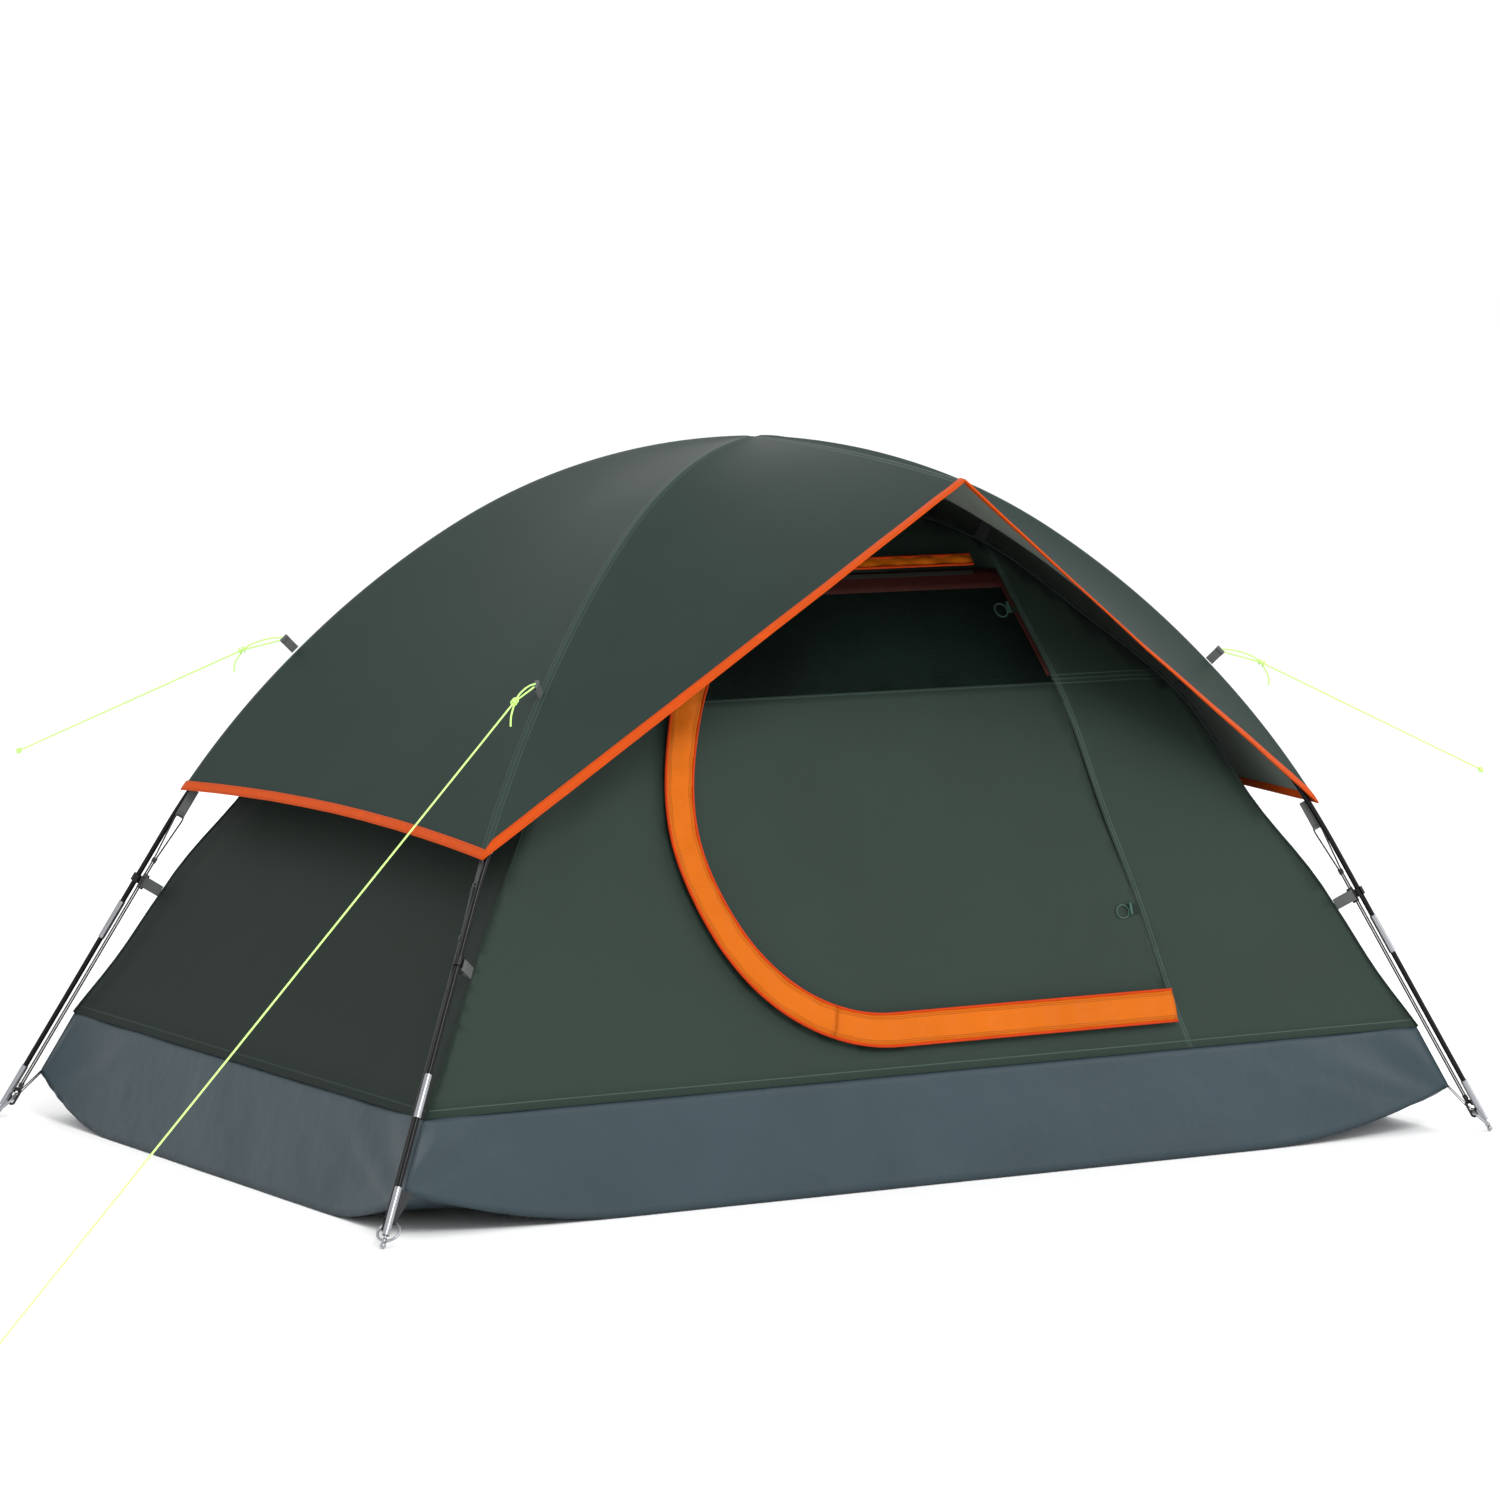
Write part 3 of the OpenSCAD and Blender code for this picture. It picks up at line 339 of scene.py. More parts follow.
class Paint:
    """Builds one material's node tree."""

    def __init__(self, name: str) -> None:
        """Start a material with one shader."""
        self.material = bpy.data.materials.new(name)
        self.material.use_nodes = True
        self.nodes = self.material.node_tree.nodes
        self.links = self.material.node_tree.links
        self.shader = self.nodes["Principled BSDF"]

    def add(self, kind: str, settings: dict[str, Any], inputs: dict[Any, Any], output: Any = 0) -> Wire:
        """Add one node.

        Args:
            kind: The node's type.
            settings: Its own properties, set first.
            inputs: Values or wires by socket name or number.
            output: The name or number of the socket that comes back.

        Returns:
            The chosen output.
        """
        node = self.nodes.new(kind)
        for key, value in settings.items():
            setattr(node, key, value)
        for key, value in inputs.items():
            self.plug(node.inputs[key], value)
        return Wire(self, node.outputs[output])

    def plug(self, socket: Any, value: Any) -> None:
        """Link a wire or set a plain value."""
        if isinstance(value, Wire):
            self.links.new(value.socket, socket)
        elif socket.type == "RGBA" and len(value) == 3:
            socket.default_value = (*value, 1.0)
        else:
            socket.default_value = value

    def shade(self, **inputs: Any) -> "Paint":
        """Set the shader's sockets, with spaces written as underscores."""
        for key, value in inputs.items():
            self.plug(self.shader.inputs[key.replace("_", " ")], value)
        return self

    def place(self) -> Wire:
        """Position in the object's own space."""
        return self.add("ShaderNodeTexCoord", {}, {}, "Object")

    def uv(self, layer: str) -> tuple[Wire, Wire]:
        """The two coordinates of a UV layer."""
        wire = self.add("ShaderNodeUVMap", {"uv_map": layer}, {})
        split = self.add("ShaderNodeSeparateXYZ", {}, {0: wire})
        return split, Wire(self, split.socket.node.outputs[1])

    def noise(
        self, scale: float, detail: float = 3.0, stretch: Colour = (1, 1, 1), roughness: float = 0.5
    ) -> Wire:
        """Smooth noise over the object, stretched along its axes."""
        where = self.add("ShaderNodeVectorMath", {"operation": "MULTIPLY"}, {0: self.place(), 1: stretch})
        inputs = {"Vector": where, "Scale": scale, "Detail": detail, "Roughness": roughness}
        return self.add("ShaderNodeTexNoise", {}, inputs)

    def mix(self, factor: Any, first: Any, second: Any) -> Wire:
        """Mix two colours."""
        node = self.nodes.new("ShaderNodeMix")
        node.data_type = "RGBA"
        sockets = [s for s in node.inputs if s.enabled]
        for socket, value in zip(sockets, (factor, first, second)):
            self.plug(socket, value)
        return Wire(self, next(s for s in node.outputs if s.enabled))

    def bump(self, height: Wire, strength: float, depth: float, under: Any = None) -> Wire:
        """Turn a height into a normal."""
        inputs = {"Height": height, "Strength": strength, "Distance": depth}
        if under is not None:
            inputs["Normal"] = under
        return self.add("ShaderNodeBump", {}, inputs)


def tint(colour: Colour, share: float) -> Colour:
    """A colour made lighter or darker by a share."""
    return tuple(min(1.0, c * share) for c in colour)


@dataclass(frozen=True)
class Stitch:
    """Rows of stitching along a seam, as distances across it, from one UV layer."""

    rows: tuple[float, ...]
    half: float = 0.0009
    pitch: float = 0.0035

    def mask(self, across: Wire, along: Wire) -> Wire:
        """1 on the thread of each stitch.

        Args:
            across: Distance across the seam.
            along: Distance along it.

        Returns:
            The stitches' mask.
        """
        total: Any = 0.0
        for row in self.rows:
            total = across.near(row, self.half) + total
        dash = (along * (1 / self.pitch)).math("FRACT").math("LESS_THAN", 0.72)
        return total.math("MINIMUM", 1.0) * (dash * 0.55 + 0.45)


@dataclass(frozen=True)
class CoatedCloth:
    """Thin coated polyester: fine weave, soft sheen, faint mottling, creases and sewn seams."""

    name: str
    colour: Colour
    roughness: float = 0.55
    sheen: float = 0.25
    weave: float = 0.0011
    crease: float = 0.35
    fold_scale: float = 7.0
    stretch: Colour = (1, 1, 1)
    thread: float = 2.6
    seam_layer: str = ""
    seam_band: float = 0.012
    door_lines: bool = False
    shine: float = 0.35

    def build(self) -> bpy.types.Material:
        """Make the material."""
        p = Paint(self.name)
        u, v = p.uv("Cloth")
        warp = (u * (math.tau / self.weave)).math("SINE")
        weft = (v * (math.tau / self.weave)).math("SINE")
        weave = warp * weft
        mottle = p.noise(5.0, 4.0)
        speck = p.noise(260.0, 2.0)
        folds = p.noise(self.fold_scale, 4.0, self.stretch, 0.45)
        colour = p.mix(mottle.ramp(0.3, 0.72), tint(self.colour, 0.93), tint(self.colour, 1.07))
        colour = p.mix((weave * 0.5 + 0.5) * 0.35, colour, tint(self.colour, 1.2))
        colour = p.mix(speck.ramp(0.62, 0.75) * 0.3, colour, tint(self.colour, 1.35))
        mask, relief = self.seams(p, u, v)
        colour = p.mix(relief * 0.35, colour, tint(self.colour, 1.28))
        colour = p.mix(mask * 0.9, colour, tint(self.colour, self.thread))
        rough = mottle * 0.12 + (self.roughness - 0.06)
        normal = p.bump(folds, self.crease, 0.012)
        normal = p.bump(relief + mask * 0.4, 0.5, 0.0012, normal)
        normal = p.bump(weave, 0.12, 0.0002, normal)
        p.shade(Base_Color=colour, Roughness=rough, Normal=normal)
        p.shade(Sheen_Weight=self.sheen, Sheen_Roughness=0.45, Specular_IOR_Level=self.shine)
        return p.material

    def seams(self, p: Paint, u: Wire, v: Wire) -> tuple[Wire, Wire]:
        """Masks of the stitches and of the doubled cloth.

        Args:
            p: The tree's builder.
            u: Distance along the cloth.
            v: Distance up the cloth.

        Returns:
            The stitch mask and the doubled cloth's mask.
        """
        if self.door_lines:
            lean = TentShape.hinge_lean
            hinge = u + v * lean - (TentShape.hinge_x0 + lean * TentShape.door_top)
            level = v - TentShape.mesh_low
            low = v - TentShape.tub_h
            lines = Stitch((0.006, 0.0115)).mask(hinge, v)
            lines = lines.math("MAXIMUM", Stitch((-0.003, 0.004, 0.011)).mask(level, u))
            lines = lines.math("MAXIMUM", Stitch((0.012,)).mask(low, u))
            band = hinge.near(0.007, 0.007).math("MAXIMUM", level.near(0.004, 0.009))
            return lines, band.math("MAXIMUM", low.near(0.006, 0.008))
        if self.seam_layer:
            across, along = p.uv(self.seam_layer)
            band = across.near(self.seam_band / 2, self.seam_band / 2)
            return Stitch((0.0022, self.seam_band - 0.002)).mask(across, along), band
        low = v - TentShape.tub_h
        return Stitch((0.012,)).mask(low, u), low.near(0.006, 0.008)


@dataclass(frozen=True)
class Ribbon:
    """Woven binding or webbing: ribs across it, darker stitching where it is sewn, and worn high spots."""

    name: str
    colour: Colour
    rib: float = 0.0016
    roughness: float = 0.6
    stitched: tuple[float, ...] = ()
    depth: float = 0.0004
    shine: float = 0.12

    def build(self) -> bpy.types.Material:
        """Make the material, with the Cloth layer as across and along."""
        p = Paint(self.name)
        u, v = p.uv("Cloth")
        ribs = (v * (math.tau / self.rib)).math("SINE") * 0.5 + 0.5
        wale = (u * (math.tau / (self.rib * 1.7))).math("SINE") * 0.5 + 0.5
        wear = p.noise(40.0, 4.0)
        colour = p.mix(ribs * wale * 0.5, tint(self.colour, 0.8), tint(self.colour, 1.15))
        colour = p.mix(wear.ramp(0.55, 0.75) * 0.25, colour, tint(self.colour, 1.45))
        height = ribs * 0.6 + wale * 0.4
        if self.stitched:
            thread = Stitch(self.stitched).mask(u, v)
            colour = p.mix(thread * 0.6, colour, tint(self.colour, 0.62))
            height = height - thread * 1.5
        normal = p.bump(height, 0.5, self.depth, p.bump(p.noise(60.0), 0.3, 0.002))
        p.shade(Base_Color=colour, Roughness=wear * 0.15 + (self.roughness - 0.07), Normal=normal)
        p.shade(Sheen_Weight=0.0, Specular_IOR_Level=self.shine)
        return p.material


@dataclass(frozen=True)
class Metal:
    """Bright or plated metal with fine drawn lines, smudges and small nicks."""

    name: str
    colour: Colour
    roughness: float = 0.25
    lines: Colour = (1, 1, 0.05)

    def build(self) -> bpy.types.Material:
        """Make the material."""
        p = Paint(self.name)
        drawn = p.noise(900.0, 2.0, self.lines)
        smudge = p.noise(18.0, 4.0)
        colour = p.mix(smudge.ramp(0.4, 0.75) * 0.4, self.colour, tint(self.colour, 0.72))
        rough = smudge * 0.22 + drawn * 0.1 + (self.roughness - 0.14)
        p.shade(Base_Color=colour, Metallic=1.0, Roughness=rough, Normal=p.bump(drawn, 0.15, 0.0003))
        return p.material


@dataclass(frozen=True)
class Moulded:
    """Plastic or glass-fibre rod: slight grain, a few scuffs, and a clear coat where it is glossy."""

    name: str
    colour: Colour
    roughness: float = 0.4
    grain: float = 400.0
    coat: float = 0.0
    scuff: float = 0.3
    shine: float = 0.5

    def build(self) -> bpy.types.Material:
        """Make the material."""
        p = Paint(self.name)
        grain = p.noise(self.grain, 3.0)
        worn = p.noise(30.0, 5.0)
        scuffs = worn.ramp(0.58, 0.78)
        colour = p.mix(scuffs * self.scuff, tint(self.colour, 0.95), tint(self.colour, 2.0))
        rough = scuffs * 0.2 + grain * 0.08 + (self.roughness - 0.04)
        p.shade(Base_Color=colour, Roughness=rough, Normal=p.bump(grain, 0.2, 0.0002))
        p.shade(Coat_Weight=self.coat, Specular_IOR_Level=self.shine)
        return p.material


@dataclass(frozen=True)
class Twine:
    """Braided cord: slanting strands along its length."""

    name: str
    colour: Colour
    pitch: float = 0.0035
    painted_glow: float = 0.0

    def build(self) -> bpy.types.Material:
        """Make the material."""
        p = Paint(self.name)
        braid = p.noise(1 / self.pitch * 2, 2.0)
        fuzz = p.noise(50.0, 3.0)
        colour = p.mix(braid.ramp(0.35, 0.65), tint(self.colour, 0.78), tint(self.colour, 1.12))
        colour = p.mix(fuzz.ramp(0.5, 0.8) * 0.3, colour, tint(self.colour, 0.7))
        p.shade(Base_Color=colour, Roughness=fuzz * 0.1 + 0.6, Sheen_Weight=0.2)
        p.shade(Normal=p.bump(braid, 0.5, 0.0004))
        # Painted glow: emission in the cord's own colour, though the cord is no lamp.
        if self.painted_glow:
            p.shade(Emission_Color=colour, Emission_Strength=self.painted_glow)
        return p.material


@dataclass(frozen=True)
class MeshCloth:
    """Black insect mesh that lets the inside show through."""

    name: str
    colour: Colour
    cell: float = 0.0022
    cover: float = 0.62

    def build(self) -> bpy.types.Material:
        """Make the material."""
        p = Paint(self.name)
        u, v = p.uv("Cloth")
        across = (u * (1 / self.cell)).math("FRACT").near(0.5, 0.33)
        along = (v * (1 / self.cell)).math("FRACT").near(0.5, 0.33)
        hole = across * along
        tone = p.noise(4.0, 3.0)
        colour = p.mix(tone.ramp(0.3, 0.7), tint(self.colour, 0.7), tint(self.colour, 1.5))
        p.shade(Base_Color=colour, Roughness=tone * 0.1 + 0.7, Alpha=1.0 - hole * self.cover)
        p.shade(Normal=p.bump(hole, 0.3, 0.0003), Specular_IOR_Level=0.1)
        return p.material


class Finishes:
    """Every finish of the tent, made once and shared."""

    FLY: Colour = (0.0215, 0.034, 0.029)
    INNER: Colour = (0.0174, 0.0300, 0.0232)

    def __init__(self) -> None:
        """Build all the materials."""
        taut = (1.0, 1.0, 0.35)
        self.fly = CoatedCloth(
            "fly_cloth", self.FLY, 0.6, 0.0, shine=0.07, crease=0.22, fold_scale=3.0, seam_layer="Seam"
        ).build()
        # Painted light: the fly's underside is the same cloth as its top, coloured several times lighter to stand
        # in for the light that reaches it from below.
        self.fly_under_painted_light = CoatedCloth(
            "fly_underside", (0.15, 0.178, 0.155), 0.6, 0.03, shine=0.2, crease=0.2, fold_scale=4.0
        ).build()
        self.inner = CoatedCloth(
            "inner_cloth", self.INNER, 0.7, 0.02, crease=0.25, fold_scale=4.0, stretch=taut,
            door_lines=True, thread=3.0, shine=0.2,
        ).build()
        # Painted shade: the end and back walls are the inner cloth made about half as bright, for the weaker
        # light that falls on them.
        self.side = CoatedCloth(
            "inner_side_cloth", tint(self.INNER, 0.52), 0.72, 0.0, crease=0.3, fold_scale=4.0, stretch=taut,
            thread=3.0, shine=0.2,
        ).build()
        self.tub = CoatedCloth(
            "tub_cloth", (0.0245, 0.0425, 0.0525), 0.45, 0.0, crease=0.6, fold_scale=9.0, shine=0.3
        ).build()
        self.flap = CoatedCloth(
            "flap_cloth", (0.50, 0.108, 0.002), 0.5, 0.0, shine=0.1, crease=0.6, fold_scale=16.0,
            thread=0.6, seam_layer="Seam", seam_band=0.007,
        ).build()
        self.binding = Ribbon("binding_tape", (0.60, 0.070, 0.002), stitched=(0.0025, 0.0145)).build()
        self.piping = Ribbon("flap_piping", (0.56, 0.045, 0.002), rib=0.0012).build()
        # Painted shade: the window's zip tape lies in shadow, and its red is made dark maroon for that.
        self.painted_shade_tape = Ribbon("window_tape", (0.045, 0.010, 0.008), rib=0.0014).build()
        self.corner_cord = Ribbon("corner_piping", tint(self.INNER, 0.8), rib=0.0015).build()
        self.web_grey = Ribbon("webbing_grey", (0.11, 0.118, 0.116), rib=0.0018, depth=0.0006).build()
        self.web_dark = Ribbon("webbing_dark", (0.055, 0.055, 0.06), rib=0.0018, depth=0.0006).build()
        self.web_black = Ribbon("webbing_black", (0.012, 0.012, 0.013), rib=0.0018, depth=0.0006).build()
        rod = Moulded("glass_fibre_rod", (0.003, 0.003, 0.004), 0.3, coat=0.1, scuff=0.08, shine=0.12)
        self.rod = rod.build()
        self.black = Moulded("moulded_black", (0.008, 0.008, 0.009), 0.45, shine=0.25).build()
        self.green = Moulded("toggle_green", (0.018, 0.075, 0.052), 0.45).build()
        self.puller = Moulded("puller_dark", (0.02, 0.022, 0.024), 0.5).build()
        self.coil = Moulded("zip_coil", (0.014, 0.020, 0.017), 0.55, grain=900.0).build()
        self.bright = Metal("bright_tube", (0.33, 0.34, 0.36), 0.3).build()
        self.wire = Metal("plated_wire", (0.34, 0.35, 0.37), 0.32, lines=(1, 1, 1)).build()
        self.zip_metal = Metal("zip_metal", (0.4, 0.41, 0.42), 0.36, lines=(1, 1, 1)).build()
        self.elastic = Twine("elastic_black", (0.014, 0.014, 0.016), 0.0015).build()
        # The green guy cord is given a painted glow.
        self.guy = Twine("guy_green", (0.50, 0.86, 0.20), 0.0022, painted_glow=0.25).build()
        self.loop_green = Twine("loop_green", (0.02, 0.075, 0.052), 0.0015).build()
        self.mesh = MeshCloth("insect_mesh", (0.003, 0.008, 0.006)).build()


# ---------------------------------------------------------------- mesh making


class Maker:
    """Turns points into Blender pieces."""

    def piece(
        self,
        name: str,
        points: Sequence[Vector],
        faces: Sequence[Sequence[int]],
        materials: Sequence[bpy.types.Material],
        cloth: Sequence[Pair] | None = None,
        seam: Sequence[Pair] | None = None,
    ) -> bpy.types.Object:
        """Make a mesh piece.

        Args:
            name: The piece's name.
            points: Its vertices.
            faces: Its faces.
            materials: Its material slots.
            cloth: Distances along and up the cloth, one pair a vertex.
            seam: Distances across and along the nearest seam, one pair a vertex.

        Returns:
            The new object.
        """
        mesh = bpy.data.meshes.new(name)
        mesh.from_pydata([tuple(p) for p in points], [], [list(f) for f in faces])
        for layer, pairs in (("Cloth", cloth), ("Seam", seam)):
            if pairs is not None:
                uv = mesh.uv_layers.new(name=layer)
                for loop in mesh.loops:
                    uv.data[loop.index].uv = pairs[loop.vertex_index]
        for material in materials:
            mesh.materials.append(material)
        mesh.shade_smooth()
        mesh.update()
        obj = bpy.data.objects.new(name, mesh)
        bpy.context.scene.collection.objects.link(obj)
        LOG.info("%s: %d faces", name, len(mesh.polygons))
        return obj

    def grid_faces(self, rows: int, cols: int, closed: bool = False, start: int = 0) -> list[tuple[int, ...]]:
        """Faces of a grid of points, rows first, joined round where closed."""
        faces = []
        for i in range(rows - 1):
            here, below = start + i * cols, start + (i + 1) * cols
            for j in range(cols if closed else cols - 1):
                k = (j + 1) % cols
                faces.append((here + j, below + j, below + k, here + k))
        return faces

    def sweep(
        self,
        path: Sequence[Vector],
        section: Callable[[int, Vector], list[Vector]],
        closed_path: bool = False,
    ) -> tuple[list[Vector], list[tuple[int, ...]], list[Pair]]:
        """Sweep a closed section along a path.

        Args:
            path: Points of the path.
            section: Gives the section's points for a path index and direction.
            closed_path: Whether the path's end meets its start.

        Returns:
            Points, faces and distances across and along.
        """
        points: list[Vector] = []
        pairs: list[Pair] = []
        along = 0.0
        count = len(path)
        for i, here in enumerate(path):
            before = path[i - 1] if i or closed_path else here
            after = path[(i + 1) % count] if i < count - 1 or closed_path else here
            ring = section(i, (after - before).normalized())
            along += (here - path[i - 1]).length if i else 0.0
            around = 0.0
            for k, p in enumerate(ring):
                around += (p - ring[k - 1]).length if k else 0.0
                pairs.append((around, along))
            points += ring
        n = len(points) // count
        faces = self.grid_faces(count, n, True)
        if closed_path:
            faces += [((count - 1) * n + j, j, (j + 1) % n, (count - 1) * n + (j + 1) % n) for j in range(n)]
        else:
            faces += [tuple(range(n)), tuple(range(count * n - 1, (count - 1) * n - 1, -1))]
        return points, faces, pairs

    def tube(self, path: Sequence[Vector], r: float, sides: int = 10, closed: bool = False) -> tuple:
        """Points, faces and distances of a round tube along a path."""
        state = {"up": Vector((0.13, 0.21, 0.97))}

        def ring(i: int, d: Vector) -> list[Vector]:
            """One ring of the tube, turned as little as possible from the last."""
            side = d.cross(state["up"]).normalized()
            state["up"] = side.cross(d).normalized()
            here = path[i]
            turn = (math.tau * k / sides for k in range(sides))
            return [here + r * (math.cos(a) * side + math.sin(a) * state["up"]) for a in turn]

        return self.sweep(path, ring, closed)

    def tubes(
        self, name: str, paths: Sequence[Any], r: float, material: Any, sides: int = 10, closed: bool = False
    ) -> bpy.types.Object:
        """One piece made of round tubes along several paths."""
        points: list[Vector] = []
        faces: list[tuple[int, ...]] = []
        pairs: list[Pair] = []
        for path in paths:
            a, b, c = self.tube(path, r, sides, closed)
            faces += [tuple(len(points) + k for k in f) for f in b]
            points += a
            pairs += c
        return self.piece(name, points, faces, [material], pairs)

    def strap(
        self, name: str, strips: Sequence[tuple[list[Vector], list[Vector]]], thick: float, material: Any
    ) -> bpy.types.Object:
        """Flat webbing between pairs of edge lines, given its thickness.

        Args:
            name: The piece's name.
            strips: For each strip, the points of its two edges.
            thick: How thick the webbing is.
            material: Its finish.

        Returns:
            The new object.
        """
        points: list[Vector] = []
        faces: list[tuple[int, ...]] = []
        pairs: list[Pair] = []
        for left, right in strips:
            start, along = len(points), 0.0
            for i, (a, b) in enumerate(zip(left, right)):
                along += (a - left[i - 1]).length if i else 0.0
                for k in range(4):
                    points.append(a.lerp(b, k / 3))
                    pairs.append(((b - a).length * k / 3, along))
            faces += self.grid_faces(len(left), 4, False, start)
        obj = self.piece(name, points, faces, [material], pairs)
        solid = obj.modifiers.new("thick", "SOLIDIFY")
        solid.thickness, solid.offset = thick, 0.0
        edge = obj.modifiers.new("edge", "BEVEL")
        edge.width, edge.segments, edge.limit_method = STRAP_BEVEL, 2, "ANGLE"
        return obj

    def thicken(self, obj: bpy.types.Object, thick: float, offset: float = -1.0, under: int = 0) -> None:
        """Give a sheet its thickness."""
        solid = obj.modifiers.new("thick", "SOLIDIFY")
        solid.thickness, solid.offset = thick, offset
        solid.material_offset = under

    def smooth(self, obj: bpy.types.Object, levels: int) -> None:
        """Round a mesh by subdivision."""
        sub = obj.modifiers.new("round", "SUBSURF")
        sub.levels = sub.render_levels = levels

    def area(self, obj: bpy.types.Object) -> float:
        """Area of a mesh's faces."""
        return sum(f.area for f in obj.data.polygons)


def lerp(a: float, b: float, t: float) -> float:
    """Value between two numbers."""
    return a + (b - a) * t


def steps(a: float, b: float, n: int) -> list[float]:
    """Evenly spaced values, both ends included."""
    return [lerp(a, b, i / n) for i in range(n + 1)]


def bell(x: float, centre: float, width: float) -> float:
    """Smooth hump of height 1."""
    return math.exp(-(((x - centre) / width) ** 2))


def curve_through(points: Sequence[Vector], per: int = 6, closed: bool = False) -> list[Vector]:
    """Catmull-Rom curve through points."""
    n = len(points)
    out: list[Vector] = []
    for i in range(n if closed else n - 1):
        if closed:
            p = [points[(i + k) % n] for k in (-1, 0, 1, 2)]
        else:
            p = [points[min(max(i + k, 0), n - 1)] for k in (-1, 0, 1, 2)]
        for j in range(per):
            t = j / per
            out.append(
                0.5 * ((2 * p[1]) + (p[2] - p[0]) * t + (2 * p[0] - 5 * p[1] + 4 * p[2] - p[3]) * t * t
                       + (3 * p[1] - p[0] - 3 * p[2] + p[3]) * t**3)
            )
    return out if closed else out + [points[-1].copy()]


# ---------------------------------------------------------------- sub-assemblies


@dataclass
class Studio:
    """Camera, floor and soft light."""

    target: tuple[float, float, float] = (-0.0034, 0.0, 0.671)
    yaw: float = -0.576
    pitch: float = 0.114
    roll: float = 0.015
    distance: float = 11.012
    lens: float = 149.1
    sky_power: float = 1.08

    def camera(self) -> None:
        """Make the camera."""
        data = bpy.data.cameras.new("camera")
        data.lens, data.sensor_width, data.clip_end = self.lens, 36.0, 100.0
        cam = bpy.data.objects.new("camera", data)
        bpy.context.scene.collection.objects.link(cam)
        back = Vector((
            math.sin(self.yaw) * math.cos(self.pitch),
            -math.cos(self.yaw) * math.cos(self.pitch),
            math.sin(self.pitch),
        ))
        cam.location = Vector(self.target) + self.distance * back
        turn = back.to_track_quat("Z", "Y").to_matrix()
        roll = turn @ Matrix.Rotation(self.roll, 3, Vector((0, 0, 1)))
        cam.rotation_euler = roll.to_euler()
        bpy.context.scene.camera = cam

    def lamp(self, name: str, where: Sequence[float], size: float, power: float) -> None:
        """Add a soft square light aimed at the tent."""
        data = bpy.data.lights.new(name, "AREA")
        data.shape, data.size, data.energy = "SQUARE", size, power
        lamp = bpy.data.objects.new(name, data)
        lamp.location = where
        aim = Vector((0, 0, 0.5)) - Vector(where)
        lamp.rotation_euler = aim.to_track_quat("-Z", "Y").to_euler()
        bpy.context.scene.collection.objects.link(lamp)

    def build(self, maker: Maker) -> None:
        """Make the floor, the sky and the lights."""
        far, low, rings, around = 40.0, -0.001, 5, 48
        p = Paint("pale_floor")
        p.shade(Base_Color=p.mix(p.noise(0.7), (0.95, 0.95, 0.95), (0.97, 0.97, 0.97)), Roughness=0.9)
        points = [Vector((0, 0, low))]
        for i in range(1, rings + 1):
            r = far * i / rings
            turns = [math.tau * k / around for k in range(around)]
            points += [Vector((r * math.cos(a), r * math.sin(a), low)) for a in turns]
        faces = [(0, 1 + k, 1 + (k + 1) % around) for k in range(around)]
        for i in range(rings - 1):
            a, b = 1 + i * around, 1 + (i + 1) * around
            faces += [(a + k, b + k, b + (k + 1) % around, a + (k + 1) % around) for k in range(around)]
        maker.piece("floor", points, faces, [p.material])
        world = bpy.data.worlds.new("sky")
        world.use_nodes = True
        sky = world.node_tree.nodes["Background"].inputs
        sky["Color"].default_value, sky["Strength"].default_value = (1, 1, 1, 1), self.sky_power
        bpy.context.scene.world = world
        bpy.context.scene.view_settings.view_transform = "Standard"
        self.lamp("key", (-1.6, -5.4, 4.8), 2.2, 230)
        self.lamp("fill", (4.5, -3.5, 2.5), 3.0, 60)
        self.lamp("rim", (1.5, 4.5, 4.0), 3.0, 60)


@dataclass
class Part:
    """What each sub-assembly has: the tent's lines, the maker of its pieces and the finishes."""

    shape: TentShape
    maker: Maker
    finishes: Finishes

    def settle(self, piece: bpy.types.Object, slot: str, *nodes: str, body: str = TENT) -> None:
        """Hide the CAD nodes that a piece stands for and hang it on the body that carries it."""
        if nodes:
            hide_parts(*nodes)
        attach(piece, body)


